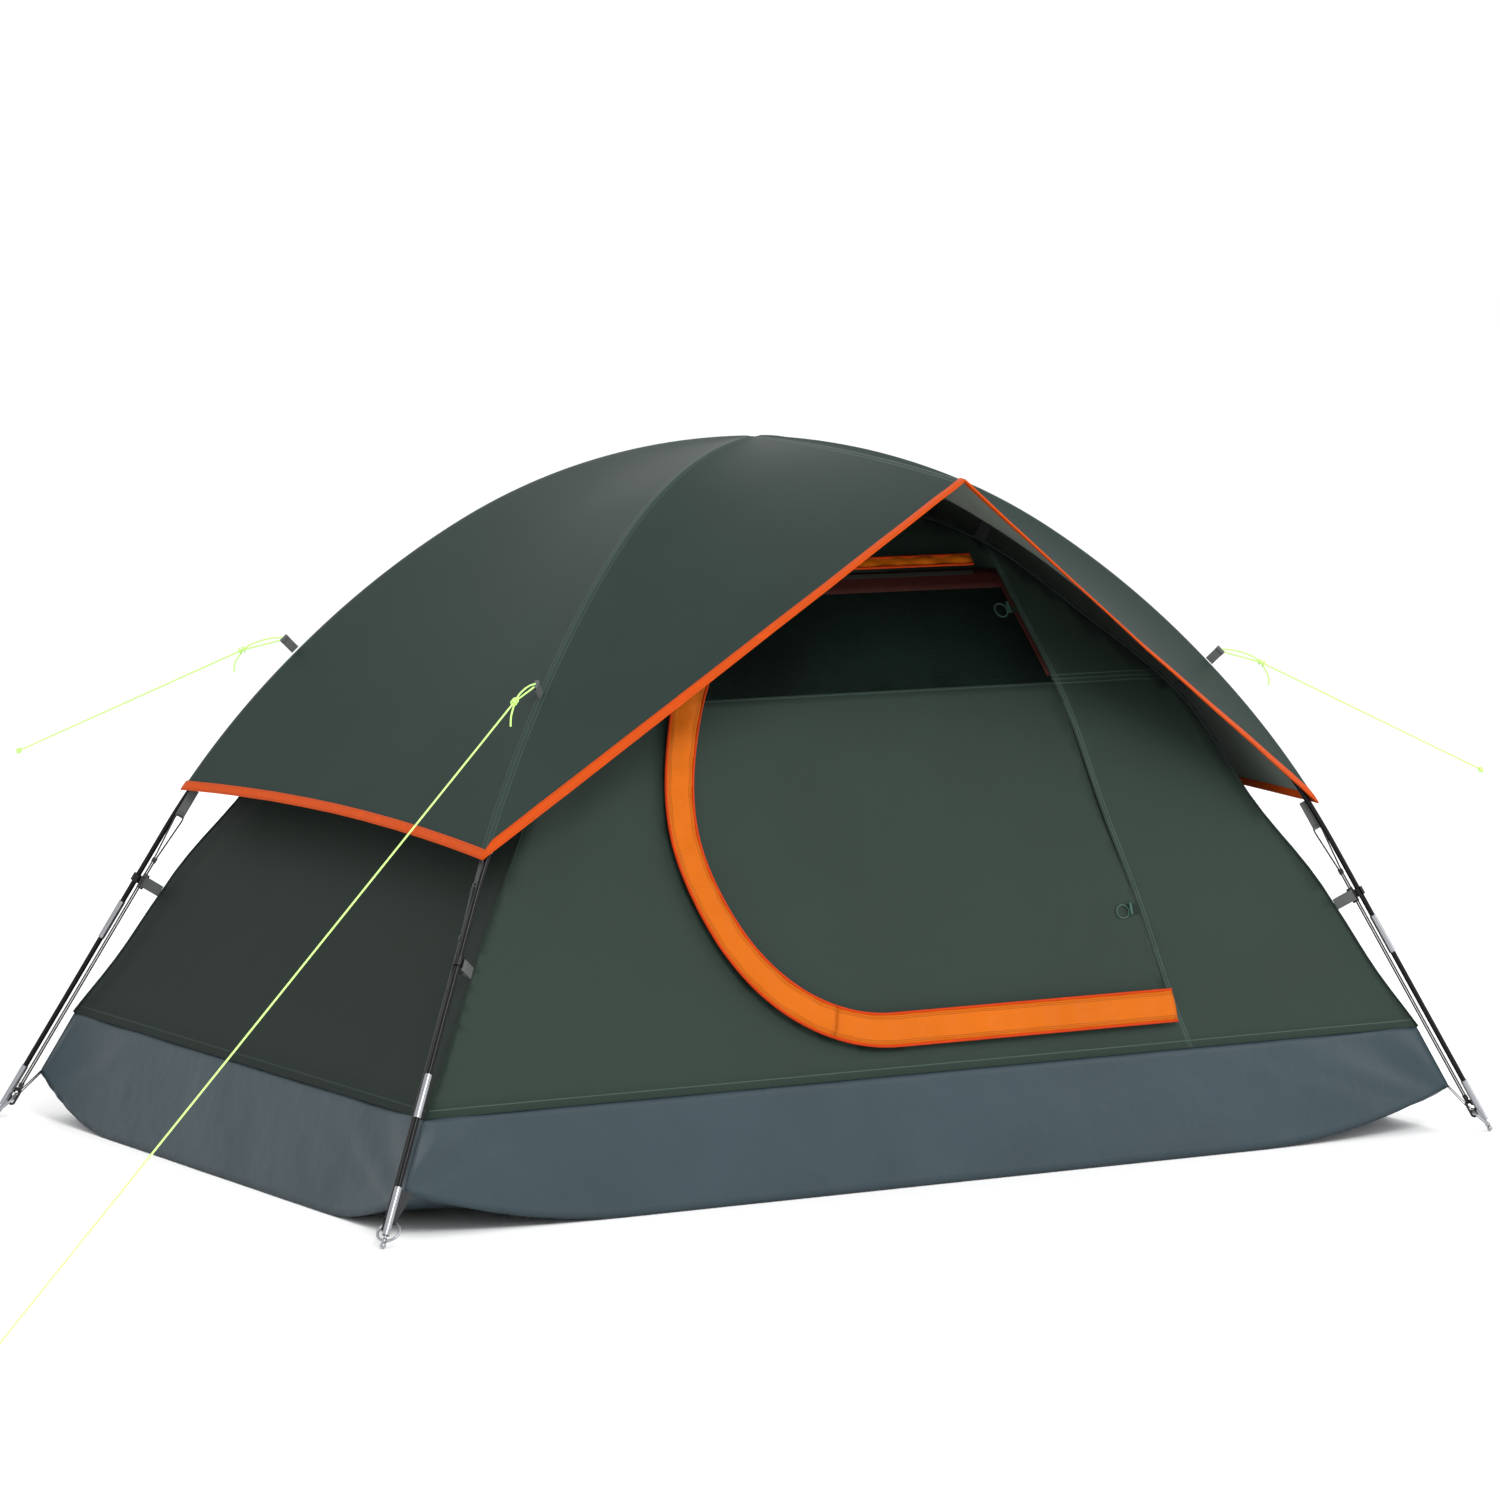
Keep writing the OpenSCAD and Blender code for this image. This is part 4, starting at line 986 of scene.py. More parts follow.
@dataclass
class GuyLines(Part):
    """Three taut guy lines, each with its loop through the tab, its knot and its tail."""

    radius: float = 0.0015
    eye_out: float = 0.027
    routes: dict[str, tuple[tuple[float, float, float], ...]] = field(default_factory=lambda: {
        "front_left": ((-0.770, -0.470, 0.838), (-2.230, -1.426, 0.026)),
        "back_left": ((-0.770, 0.470, 0.838), (-1.100, 0.686, 0.653)),
        "right": ((0.770, -0.470, 0.838), (1.100, -0.686, 0.653)),
    })
    corners: dict[str, Corner] = field(default_factory=lambda: {
        "front_left": Corner.FRONT_LEFT, "back_left": Corner.BACK_LEFT, "right": Corner.FRONT_RIGHT,
    })

    def build(self) -> None:
        out = self.shape.fly_out(self.shape.strap_s[1]) + 0.0014 + self.eye_out
        for name, ends in self.routes.items():
            eye = self.shape.on_pole(self.corners[name], self.shape.strap_s[1], (-out + 0.001, 0, 0))
            near, far = Vector(ends[0]), Vector(ends[1])
            way = (far - near).normalized()
            points = [eye, eye.lerp(near, 0.5)] + [near.lerp(far, t) for t in steps(0, 1, 16)]
            data = bpy.data.curves.new("guy_line_" + name, "CURVE")
            data.dimensions, data.bevel_depth = "3D", self.radius
            data.bevel_resolution, data.use_fill_caps = 3, True
            spline = data.splines.new("POLY")
            spline.points.add(len(points) - 1)
            for point, p in zip(spline.points, points):
                point.co = (*p, 1)
            data.materials.append(self.finishes.guy)
            line = bpy.data.objects.new("guy_line_" + name, data)
            bpy.context.scene.collection.objects.link(line)
            length = sum((b - a).length for a, b in zip(points, points[1:]))
            knots = self.knot(name, near, way, eye)
            ending = self.turns("guy_end_" + name, far, way)
            2 * self.radius
            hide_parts("guyline_" + name)
            for piece in (line, knots, ending):
                self.settle(piece, "guyline_green")
            if name == "front_left":
                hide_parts("guyline_knots")

    def turns(self, name: str, at: Vector, way: Vector) -> bpy.types.Object:
        """A small stopper knot: turns of cord wound round the line."""
        side = way.cross(Vector((0, 0, 1))).normalized()
        up = side.cross(way)
        coil = []
        for i in range(40):
            t = i / 39
            a = math.tau * 3 * t
            r = 0.0031 + 0.0006 * math.sin(math.pi * t)
            coil.append(at + way * (t - 0.5) * 0.009 + r * (math.cos(a) * side + math.sin(a) * up))
        return self.maker.tubes(name, [coil], self.radius, self.finishes.guy, 8)

    def knot(self, name: str, at: Vector, way: Vector, eye: Vector) -> bpy.types.Object:
        """The knot below the tab, the second strand of its loop and the free tail."""
        side = way.cross(Vector((0, 0, 1))).normalized()
        up = side.cross(way)
        rise = [at.lerp(eye, 0.3) + up * 0.007, at.lerp(eye, 0.7) + up * 0.008]
        strand = curve_through([at, *rise, eye + up * 0.002 - way * 0.003], 6)
        droop = ((0.008, 0.006), (0.022, 0.016), (0.03, 0.03))
        tail = curve_through([at, *(at + way * along - up * drop for along, drop in droop)], 6)
        coils = []
        for shift in (-0.0035, 0.0035):
            ring = []
            for i in range(36):
                a = math.tau * 2.5 * i / 35
                out = 0.0042 * (math.cos(a) * side + math.sin(a) * up)
                ring.append(at + way * (shift + 0.002 * i / 35) + out)
            coils.append(ring)
        return self.maker.tubes("guy_knot_" + name, [strand, tail, *coils], self.radius, self.finishes.guy, 8)


@dataclass
class Fly(Part):
    """The part-length fly: one curved sheet over the crossed poles and the brow, with its bound edge."""

    rows: int = 30
    end_sag: float = 0.014
    back_sag: float = 0.018
    front_sag: float = 0.012
    hem_t: float = 0.0034
    pole_start: float = 0.012
    brow_start: float = 0.006
    columns: tuple[float, ...] = (0.0, 0.010, 0.024, 0.055, 0.11, 0.19, 0.29, 0.40, 0.5)

    def ridge(self, corner: Corner | None, v: float, arch: float = 0.0) -> Vector:
        """Point of a ridge, over a pole or over the brow's rod where corner is None.

        Args:
            corner: The pole's corner.
            v: Share of the way from the crown to the hem.
            arch: How far the hem rises there.

        Returns:
            The point.
        """
        if corner is None:
            y = self.brow_start + (self.shape.brow_reach - self.brow_start) * v
            return Vector((0, -y, self.shape.ridge_h - y * y / (2 * self.shape.brow_bend)))
        s = self.pole_start + (self.shape.fly_s - self.pole_start - arch * 1.19) * v
        p = self.shape.beside(s, self.shape.fly_out(s))
        return self.shape.corner_pt(corner, p[0], 0, p[1])

    def sectors(self) -> list[tuple[Corner | None, Corner | None, float, float]]:
        """The five faces as their two ridges, the hem's arch and the sag, counter-clockwise."""
        s = self.shape
        return [
            (Corner.FRONT_RIGHT, Corner.BACK_RIGHT, s.end_arch, self.end_sag),
            (Corner.BACK_RIGHT, Corner.BACK_LEFT, s.back_arch, self.back_sag),
            (Corner.BACK_LEFT, Corner.FRONT_LEFT, s.end_arch, self.end_sag),
            (Corner.FRONT_LEFT, None, 0.0, self.front_sag),
            (None, Corner.FRONT_RIGHT, 0.0, self.front_sag),
        ]

    def at(self, sector: int, u: float, v: float) -> Vector:
        """Point of the fly's sheet in one of its faces."""
        first, second, arch, sag = self.sectors()[sector]
        rise = arch * 4 * u * (1 - u)
        a, b = self.ridge(first, v, rise), self.ridge(second, v, rise)
        p = a.lerp(b, u)
        inward = Vector((0, 0, 0.35)) - p
        inward.normalize()
        depth = sag * math.sin(math.pi * u) * math.sin(math.pi * min(1.0, v * 0.93 + 0.02)) ** 0.8
        ripple = noise.noise(Vector((p.x * 2.3, p.y * 2.3, p.z * 1.2))) * 0.004 * math.sin(math.pi * u) * v
        return p + inward * (depth + ripple)

    def column_shares(self) -> list[float]:
        """Shares of the way across one face, close together beside its ridges."""
        half = list(self.columns)
        return half + [1 - u for u in reversed(half[:-1])][:-1]

    def build(self) -> None:
        """Make the sheet, its bound edge and the brow rod's pockets."""
        points: list[Vector] = []
        cloth: list[Pair] = []
        seam: list[Pair] = []
        columns = [(k, u) for k in range(5) for u in self.column_shares()]
        for i in range(self.rows + 1):
            v = (i / self.rows) ** 0.94
            for k, u in columns:
                p = self.at(k, u, v)
                ends = self.at(k, 0, v), self.at(k, 1, v)
                width = (ends[0] - ends[1]).length
                across = min(u, 1 - u) * width
                points.append(p)
                cloth.append((k * 2.0 + u * width, v * 1.2))
                seam.append((across, v * 1.2))
        faces = self.maker.grid_faces(self.rows + 1, len(columns), True)
        # The second slot colours the underside with painted light.
        materials = [self.finishes.fly, self.finishes.fly_under_painted_light]
        fly = self.maker.piece("fly_sheet", points, faces, materials, cloth, seam)
        self.maker.thicken(fly, FLY_PLY, 0.0, under=1)
        self.maker.smooth(fly, 1)
        area = self.maker.area(fly)
        hem = self.bind(columns)
        pockets = self.pockets()
        round(area / 2.1 * 1.12, 3)
        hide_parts("fly_left_panel", "fly_right_panel", "fly_back_panel",
                    "fly_front_left_panel", "fly_front_right_panel")
        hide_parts("fly_hem")
        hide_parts("brow_rod_pockets")
        for piece, slot in ((fly, "fly_fabric"), (hem, "binding_orange"), (pockets, "fly_fabric")):
            self.settle(piece, slot)

    def bind(self, columns: Sequence[tuple[int, float]]) -> bpy.types.Object:
        """The tape folded over the fly's edge, with its two rows of stitching."""
        outline = ((0.0, 1.0), (-0.0008, 0.0), (0.0, -1.0), (0.004, -1.0), (0.0155, -1.0), (0.0172, -0.7),
                   (0.0172, 0.7), (0.0155, 1.0), (0.010, 1.12), (0.004, 1.05))
        points, pairs, along = [], [], 0.0
        path = [self.at(k, u, 1.0) for k, u in columns]
        count = len(columns)
        for i, (k, u) in enumerate(columns):
            edge = path[i]
            up = self.at(k, u, 0.985) - edge
            side = path[(i + 1) % count] - path[i - 1]
            out = up.cross(side).normalized()
            if out.dot(edge) < 0:
                out = -out
            along += (edge - path[i - 1]).length if i else 0.0
            miter = 1.0 / max(0.6, up.normalized().cross(side.normalized()).length)
            wave = 0.0005 * math.sin(along * 90)
            for d, t in outline:
                points.append(edge + up.normalized() * d * miter + out * (t * self.hem_t / 2 + wave))
                pairs.append((d if t > 0 else d + 0.03, along))
        n = len(outline)
        faces = [tuple(reversed(f)) for f in self.maker.grid_faces(count, n, True)]
        faces += [(j, (count - 1) * n + j, (count - 1) * n + (j + 1) % n, (j + 1) % n) for j in range(n)]
        return self.maker.piece("fly_binding", points, faces, [self.finishes.binding], pairs)

    def pockets(self) -> bpy.types.Object:
        """Short sleeves of fly cloth that hold the brow's rod."""
        end = self.shape.brow_reach - 0.023
        paths = []
        for y0, y1 in ((0.014, 0.040), (end - 0.060, end)):
            paths.append([self.rod_pt(y) for y in steps(y0, y1, 6)])
        r = self.shape.brow_rod_r + 0.0009
        # The sleeves take the underside's colour, which is painted light.
        return self.maker.tubes("brow_sleeves", paths, r, self.finishes.fly_under_painted_light, 14)

    def rod_pt(self, y: float) -> Vector:
        """Point of the brow rod's axis."""
        r = self.shape.brow_axis_r
        return Vector((0, -y, self.shape.rod_axis_h - r + math.sqrt(r * r - y * y)))


@dataclass
class InnerTent(Part):
    """Walls of the inner tent with their corner seams, and the front wall round the door's opening."""

    hole_in: float = 0.023
    pitch: float = 0.030

    def corner_fold(self, x: float, z: float, reach: float) -> float:
        """How far a wall's cloth stands in or out near its corners, from the pull of the clips."""
        gap = reach - abs(x)
        near = math.exp(-(gap / 0.09) ** 2)
        wave = math.sin(gap * 75 + z * 3) * 0.0028 * near
        soft = noise.noise(Vector((x * 3.1, z * 2.2, reach))) * 0.0035
        return (wave + soft) * min(1.0, gap / 0.03) * min(1.0, max(0.0, (z - self.shape.tub_h) / 0.05))

    def wall(self, material: Any, side: Side) -> bpy.types.Object:
        """One whole wall as a grid.

        Args:
            material: Its finish.
            side: Which wall.

        Returns:
            The piece.
        """
        s = self.shape
        zs = [lerp(s.tub_h, s.wall_top, (i / 34) ** 0.9) for i in range(35)]
        half = [0.2, 0.4, 0.55, 0.7, 0.8, 0.88, 0.93, 0.965, 0.99, 1]
        shares = [-u for u in reversed(half)] + [0] + half
        end = side in (Side.LEFT, Side.RIGHT)
        points, pairs = [], []
        for z in reversed(zs):
            reach = (s.ky if end else s.kx) * s.inner_r(z)
            for u in shares:
                out = self.corner_fold(u * reach, z, reach)
                p = s.end_pt(u * reach, z, out) if end else s.front_pt(u * reach, z, out)
                flip = -1 if side is Side.LEFT else 1
                turn = -1 if side is Side.BACK else 1
                points.append(Vector((p.x * (flip if end else 1), p.y * turn, p.z)))
                pairs.append((u * reach, z))
        faces = self.maker.grid_faces(len(zs), len(shares))
        if side in (Side.LEFT, Side.BACK):
            faces = [tuple(reversed(f)) for f in faces]
        piece = self.maker.piece("inner_" + side.value + "_wall", points, faces, [material], pairs)
        self.maker.thicken(piece, WALL_PLY)
        return piece

    def filled(self, name: str, rings: Sequence[Sequence[Pair]], material: Any,
               out: Callable[[float, float], float]) -> bpy.types.Object:
        """A sheet on the front wall inside an outline, less any holes.

        Args:
            name: The piece's name.
            rings: The outline, then holes, as x and z.
            material: Its finish.
            out: How far the cloth stands out at x and z.

        Returns:
            The piece.
        """
        points = [Vector(q) for ring in rings for q in ring]
        edges, start = [], 0
        for ring in rings:
            edges += [(start + i, start + (i + 1) % len(ring)) for i in range(len(ring))]
            start += len(ring)
        xs = [p.x for p in points]
        zs = [p.y for p in points]
        for i, z in enumerate(np.arange(min(zs), max(zs), self.pitch)):
            for x in np.arange(min(xs), max(xs), self.pitch):
                q = (float(x) + (i % 2) * self.pitch / 2, float(z))
                if within(q, rings) and clear(q, rings, 0.011):
                    points.append(Vector(q))
        flat, _, faces, *_ = delaunay_2d_cdt([p.to_2d() for p in points], edges, [], 0, 1e-6)
        kept = []
        for f in faces:
            c = sum((flat[k] for k in f), Vector((0, 0))) / len(f)
            if within(c, rings):
                kept.append(f)
        solid = [self.shape.front_pt(p.x, p.y, out(p.x, p.y)) for p in flat]
        return self.maker.piece(name, solid, kept, [material], [(p.x, p.y) for p in flat])

    def outline(self, inset: float) -> list[Pair]:
        """The door's curved edge from its foot to its top."""
        return [self.shape.door_edge(a, inset) for a in range(0, 181, 4)]

    def opening(self) -> list[Pair]:
        """The opening that the door fills, closed along the hinge seam."""
        s = self.shape
        low, high = s.door_low + self.hole_in, s.door_top - self.hole_in
        hinge = [(s.hinge_x(z), z) for z in steps(high, low, 14)]
        return self.outline(self.hole_in) + hinge

    def front(self) -> bpy.types.Object:
        """The front wall."""
        s = self.shape
        zs = steps(s.tub_h, s.wall_top, 34)
        right = [(s.kx * s.inner_r(z), z) for z in zs]
        left = [(-s.kx * s.inner_r(z), z) for z in reversed(zs)]
        base = [(x, s.tub_h) for x in steps(left[-1][0], right[0][0], 40)[1:-1]]

        def out(x: float, z: float) -> float:
            """Small folds, with one long fold beside the left pole."""
            reach = s.kx * s.inner_r(z)
            fold = 0.006 * bell(x + reach, 0.075 + 0.02 * z, 0.016) * min(1.0, max(0.0, (z - s.tub_h) / 0.1))
            return self.corner_fold(x, z, reach) - fold * (1 if z < 0.7 else 0.4)

        rings = [base + right + left, self.opening()]
        wall = self.filled("inner_front_wall", rings, self.finishes.inner, out)
        self.maker.thicken(wall, WALL_PLY)
        return wall

    def build(self) -> None:
        """Make all four walls and the corner piping."""
        # The end and back walls take the darker copy of the inner cloth, which is painted shade.
        pieces = {side: self.wall(self.finishes.side, side) for side in (Side.LEFT, Side.RIGHT, Side.BACK)}
        pieces[Side.FRONT] = self.front()
        s = self.shape
        lines = []
        for corner in Corner:
            zs = steps(s.tub_h, s.wall_top, 30)
            lines.append([s.corner_pt(corner, s.inner_r(z), 0, z) for z in zs])
        piping = self.maker.tubes("corner_piping", lines, 0.0026, self.finishes.corner_cord, 10)
        self.settle(piping, "inner_fabric")
        for side, piece in pieces.items():
            area = round(self.maker.area(piece), 3)
            wide = 2.06 if side in (Side.FRONT, Side.BACK) else 1.26
            flat = (wide, round(max(1.18, area / wide * 1.05), 3))
            self.settle(piece, "inner_fabric", side.value + "_wall")


def inside(q: Sequence[float], ring: Sequence[Sequence[float]]) -> bool:
    """Whether a point lies inside a closed outline."""
    hit = False
    for a, b in zip(ring, list(ring[1:]) + [ring[0]]):
        if (a[1] > q[1]) != (b[1] > q[1]) and q[0] < (b[0] - a[0]) * (q[1] - a[1]) / (b[1] - a[1]) + a[0]:
            hit = not hit
    return hit


def within(q: Sequence[float], rings: Sequence[Sequence[Sequence[float]]]) -> bool:
    """Whether a point lies inside an outline and outside its holes."""
    return inside(q, rings[0]) and not any(inside(q, ring) for ring in rings[1:])


def clear(q: Sequence[float], rings: Sequence[Sequence[Sequence[float]]], gap: float) -> bool:
    """Whether a point keeps a gap from every corner of the outlines."""
    return all(abs(q[0] - p[0]) > gap or abs(q[1] - p[1]) > gap for ring in rings for p in ring)


@dataclass
class Door(Part):
    """The D-shaped door: cloth below, insect mesh above, and the orange flap over its zip."""

    walls: InnerTent
    cloth_in: float = 0.0245
    flap_w: float = 0.052
    flap_out: float = 0.013
    side_from: int = 20
    side_to: int = 130
    roof_w: float = 0.015

    def gather(self, piece: bpy.types.Object, keep: float = 0.15) -> None:
        """Give a soft piece its own copy of its mesh."""
        z = self.shape.door_mid
        tuple(self.shape.front_pt(self.shape.hinge_x(z) - 0.01, z))
        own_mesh(piece)

    def panels(self) -> tuple[bpy.types.Object, bpy.types.Object]:
        """The cloth and the mesh of the door."""
        s = self.shape
        edge = self.walls.outline(self.cloth_in)
        low = [q for q in edge if q[1] <= s.mesh_low]
        high = [q for q in edge if q[1] > s.mesh_low]
        z0, z1 = s.door_low + self.cloth_in, s.door_top - self.cloth_in
        hinge_low = [(s.hinge_x(z), z) for z in steps(s.mesh_low, z0, 14)]
        hinge_high = [(s.hinge_x(z), z) for z in steps(z1, s.mesh_low + 0.0005, 6)]
        turn = [q[0] for q in low][-1]
        seam = [(x, s.mesh_low) for x in steps(turn + 0.004, hinge_low[0][0], 18)[:-1]]

        def soft(x: float, z: float) -> float:
            """Gentle slack in the door's cloth."""
            return noise.noise(Vector((x * 4, z * 3, 5.0))) * 0.004 * min(1.0, (s.mesh_low - z) / 0.1 + 0.1)

        cloth = self.walls.filled("door_cloth", [low + seam + hinge_low], self.finishes.inner, soft)
        self.maker.thicken(cloth, DOOR_PLY)
        net = self.walls.filled("door_net", [[seam[0]] + high + hinge_high + list(reversed(seam[1:]))],
                                self.finishes.mesh, lambda x, z: -0.001)
        return cloth, net

    def band(self, name: str, edge: Sequence[Pair],
             inner: Sequence[Pair]) -> bpy.types.Object:
        """A stretch of the flap between its outer and inner edges.

        Args:
            name: The piece's name.
            edge: Points of the outer edge.
            inner: Points of the inner edge.

        Returns:
            The piece.
        """
        cols = 8
        points, cloth, seam, along = [], [], [], 0.0
        for i, (a, b) in enumerate(zip(edge, inner)):
            along += math.dist(a, edge[i - 1]) if i else 0.0
            for k in range(cols + 1):
                t = k / cols
                x, z = lerp(a[0], b[0], t), lerp(a[1], b[1], t)
                arch = math.sin(math.pi * t)
                swell = 0.0020 * arch + 0.0030 * noise.noise(Vector((x * 22, z * 22, 1.0))) * arch
                phase = along * 95 + 2.0 * noise.noise(Vector((along * 9, 0, 0)))
                ruck = 0.0023 * math.sin(phase) * arch**0.6
                points.append(self.shape.front_pt(x, z, self.flap_out + swell + ruck))
                cloth.append((t * self.flap_w, along))
                seam.append((min(t, 1 - t) * self.flap_w - 0.0035, along))
        faces = [tuple(reversed(f)) for f in self.maker.grid_faces(len(edge), cols + 1)]
        materials = [self.finishes.flap, self.finishes.piping]
        sheet = self.maker.piece(name, points, faces, materials, cloth, seam)
        self.maker.thicken(sheet, DOOR_PLY, 0.0)
        return sheet

    def piped(self, name: str, edges: Sequence[Sequence[Pair]]) -> Any:
        """Round piping along the flap's edges."""
        paths = [[self.shape.front_pt(x, z, self.flap_out) for x, z in edge] for edge in edges]
        return self.maker.tubes(name, paths, 0.0026, self.finishes.piping, 8)

    def build(self) -> None:
        """Make the door's pieces and hang the flap's side on the door's edge body, the rest on the tent."""
        s = self.shape
        cloth, net = self.panels()
        run_end, top_end = s.hinge_x(s.door_low) - 0.008, s.hinge_x0 - 0.050
        w = self.flap_w

        def arc(a: float, b: float, inset: float) -> list[Pair]:
            """Points of the outline between two turns."""
            return [s.door_edge(t, inset) for t in steps(a, b, max(4, int((b - a) / 2)))]

        low_x = s.door_edge(0, 0)[0]
        top_x = s.door_edge(180, 0)[0]
        run = [(x, s.door_low) for x in steps(run_end, low_x, 44)[:-1]]
        roof = [(x, s.door_top) for x in steps(top_x, top_end, 36)[1:]]
        stretches = {
            "flap_foot": (
                run + arc(0, self.side_from, 0),
                [(x, z + w) for x, z in run] + arc(0, self.side_from, w),
            ),
            "flap_side": (arc(self.side_from, self.side_to, 0), arc(self.side_from, self.side_to, w)),
            "flap_top": (
                arc(self.side_to, 180, 0) + roof,
                self.rolled(arc, w) + [(x, z - self.roof_w) for x, z in roof],
            ),
        }
        flaps = {}
        for name, (edge, inner) in stretches.items():
            band = self.band(name, edge, inner)
            cord = self.piped(name + "_piping", [edge, inner])
            flaps[name] = (band, cord)
        tape = self.tape()
        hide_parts("door_panel")
        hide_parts("door_mesh")
        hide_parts("door_flap_side")
        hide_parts("door_flap_run")
        area, net_area = (round(min(self.maker.area(p), most), 3) for p, most in ((cloth, 0.58), (net, 0.17)))
        for name, pair in flaps.items():
            for piece in pair:
                moving = name == "flap_side"
                self.settle(piece, "flap_orange", body="door_edge" if moving else TENT)
                if not moving:
                    self.gather(piece)
        for piece, slot in ((cloth, "inner_fabric"), (net, "mesh_black"), (tape, "flap_orange")):
            self.settle(piece, slot)
            self.gather(piece, 0.12)

    def rolled(self, arc: Callable[[float, float, float], list[Pair]], w: float) -> list[Pair]:
        """Inner edge of the flap's upper curve, which narrows to the roll along the top."""
        n = len(arc(self.side_to, 180, w))
        turns = steps(self.side_to, 180, n - 1)
        insets = [lerp(w, self.roof_w, (k / (n - 1)) ** 1.5) for k in range(n)]
        return [self.shape.door_edge(t, inset) for t, inset in zip(turns, insets)]

    def tape(self) -> bpy.types.Object:
        """Tape round the window's top and hinge side, coloured dark maroon: the red is the tape's own, and its
        darkness is painted shade for tape lying in shadow.
        """
        s = self.shape
        top = s.door_top - 0.018
        outer = [(x, top) for x in steps(s.door_edge(180, 0)[0] - 0.1, s.hinge_x(top) - 0.002, 24)]
        inner = [(x, top - 0.032) for x, _ in outer]
        zs = steps(top, s.mesh_low + 0.01, 10)
        right = [(s.hinge_x(z) - 0.002, z) for z in zs]
        left = [(x - 0.009, z) for x, z in right]
        strips = [
            tuple([s.front_pt(x, z, 0.0022) for x, z in edge] for edge in pair)
            for pair in ((outer, inner), (right, left))
        ]
        tape = self.maker.strap("window_tape", strips, 0.0010, self.finishes.painted_shade_tape)
        for modifier in list(tape.modifiers):
            if modifier.type == "BEVEL":
                tape.modifiers.remove(modifier)
        return tape


@dataclass
class Tub(Part):
    """The floor tub: walls that lift to the poles at the corners, with creases, and the floor."""

    cols: int = 60
    rows: int = 14

    def lift(self, u: float) -> float:
        """How far a point along a side is drawn up by the corner."""
        return max(0.0, 1 - 5 * min(u, 1 - u)) ** 2

    def at(self, side: Side, u: float, v: float) -> Vector:
        """Point of a tub wall.

        Args:
            side: Which wall.
            u: Share along it.
            v: Share down it.

        Returns:
            The point.
        """
        s = self.shape
        rx = lerp(s.kx * s.inner_r(s.tub_h), s.floor_x / 2, v)
        ry = lerp(s.ky * s.inner_r(s.tub_h), s.floor_y / 2, v)
        long = side in (Side.FRONT, Side.BACK)
        z = lerp(lerp(s.tub_h, 0.001, v), lerp(s.tub_h, s.corner_lift, v), self.lift(u))
        reach = rx if long else ry
        length = 2 * reach
        near = min(u, 1 - u) * length
        spread = near / (0.03 + (1 - v) * 0.16)
        crease = 0.0085 * math.sin(spread * 5.4 + 1.1 * v) * math.exp(-near / 0.15)
        crease *= math.sin(math.pi * min(1.0, v * 0.85 + 0.1))
        ripple = 0.004 * noise.noise(Vector((u * length * 6, v * 1.3, 3.0 if long else 9.0)))
        ripple *= math.sin(math.pi * v * 0.9 + 0.15)
        out = (crease + ripple) * min(1.0, near / 0.02) - 0.0022
        along = lerp(-reach, reach, u)
        if side is Side.FRONT:
            return Vector((along, -ry - out, z))
        if side is Side.RIGHT:
            return Vector((rx + out, along, z))
        if side is Side.BACK:
            return Vector((-along, ry + out, z))
        return Vector((-rx - out, -along, z))

    def build(self) -> None:
        """Make the tub as one sheet, walls and floor together."""
        order = (Side.FRONT, Side.RIGHT, Side.BACK, Side.LEFT)
        columns = [(side, u) for side in order for u in self.shares()[:-1]]
        points, pairs = [], []
        s = self.shape
        for i in range(self.rows + 1):
            v = i / self.rows
            for k, (side, u) in enumerate(columns):
                points.append(self.at(side, u, v))
                pairs.append(((order.index(side) + u) * 2.0, lerp(s.tub_h - 0.02, 0.0, v)))
        rim = points[-len(columns):]
        levels = (0.97, 0.92, 0.85, 0.7, 0.5, 0.25, 0.05)
        for t in levels:
            for p in rim:
                flat = 0.0012 + (p.z - 0.0012) * max(0.0, (t - 0.7) / 0.3) ** 2
                points.append(Vector((p.x * t, p.y * t, max(flat, 0.0012))))
                pairs.append((p.x * t, p.y * t))
        faces = self.maker.grid_faces(self.rows + 1 + len(levels), len(columns), True)
        last = len(points) - len(columns)
        faces.append(tuple(last + k for k in range(len(columns))))
        tub = self.maker.piece("floor_tub_cloth", points, faces, [self.finishes.tub], pairs)
        self.maker.thicken(tub, DOOR_PLY)
        area = round(self.maker.area(tub), 3)
        self.settle(tub, "tub_fabric", "floor_tub")

    def shares(self) -> list[float]:
        """Shares along a side, closer together towards its corners."""
        turns = [math.cos(math.pi * i / self.cols) for i in range(self.cols + 1)]
        return [0.5 - 0.5 * c * (0.75 + 0.25 * abs(c)) for c in turns]


@dataclass
class Poles(Part):
    """The two jointed poles, shown as smooth bent rods; their bright joints and the brow's rod stay as CAD nodes.
    """

    under_end: float = 0.239
    over_end: float = 0.387
    seat: float = 0.022

    def build(self) -> None:
        """Make the rods."""
        s = self.shape
        for name, flip, h, end, count in (
            ("under_pole_rods", 1, s.under_h, self.under_end, 7),
            ("over_pole_rods", -1, s.over_h, self.over_end, 6),
        ):
            full = s.bend_ends(h)[1] + s.foot_len
            stops = [-(full - self.seat), *steps(end - full, full - end, count), full - self.seat]
            paths = []
            for a, b in zip(stops, stops[1:]):
                path = []
                for q in steps(a + 0.0003, b - 0.0003, 26):
                    p = s.pole_at(abs(q), h)
                    reach = -p[0] if q < 0 else p[0]
                    path.append(Vector((s.kx * reach, flip * s.ky * reach, p[1])))
                paths.append(path)
            rods = self.maker.tubes(name.replace("_rods", "_tubes"), paths, s.rod_r, self.finishes.rod, 16)
            self.settle(rods, "fibreglass_black", name)


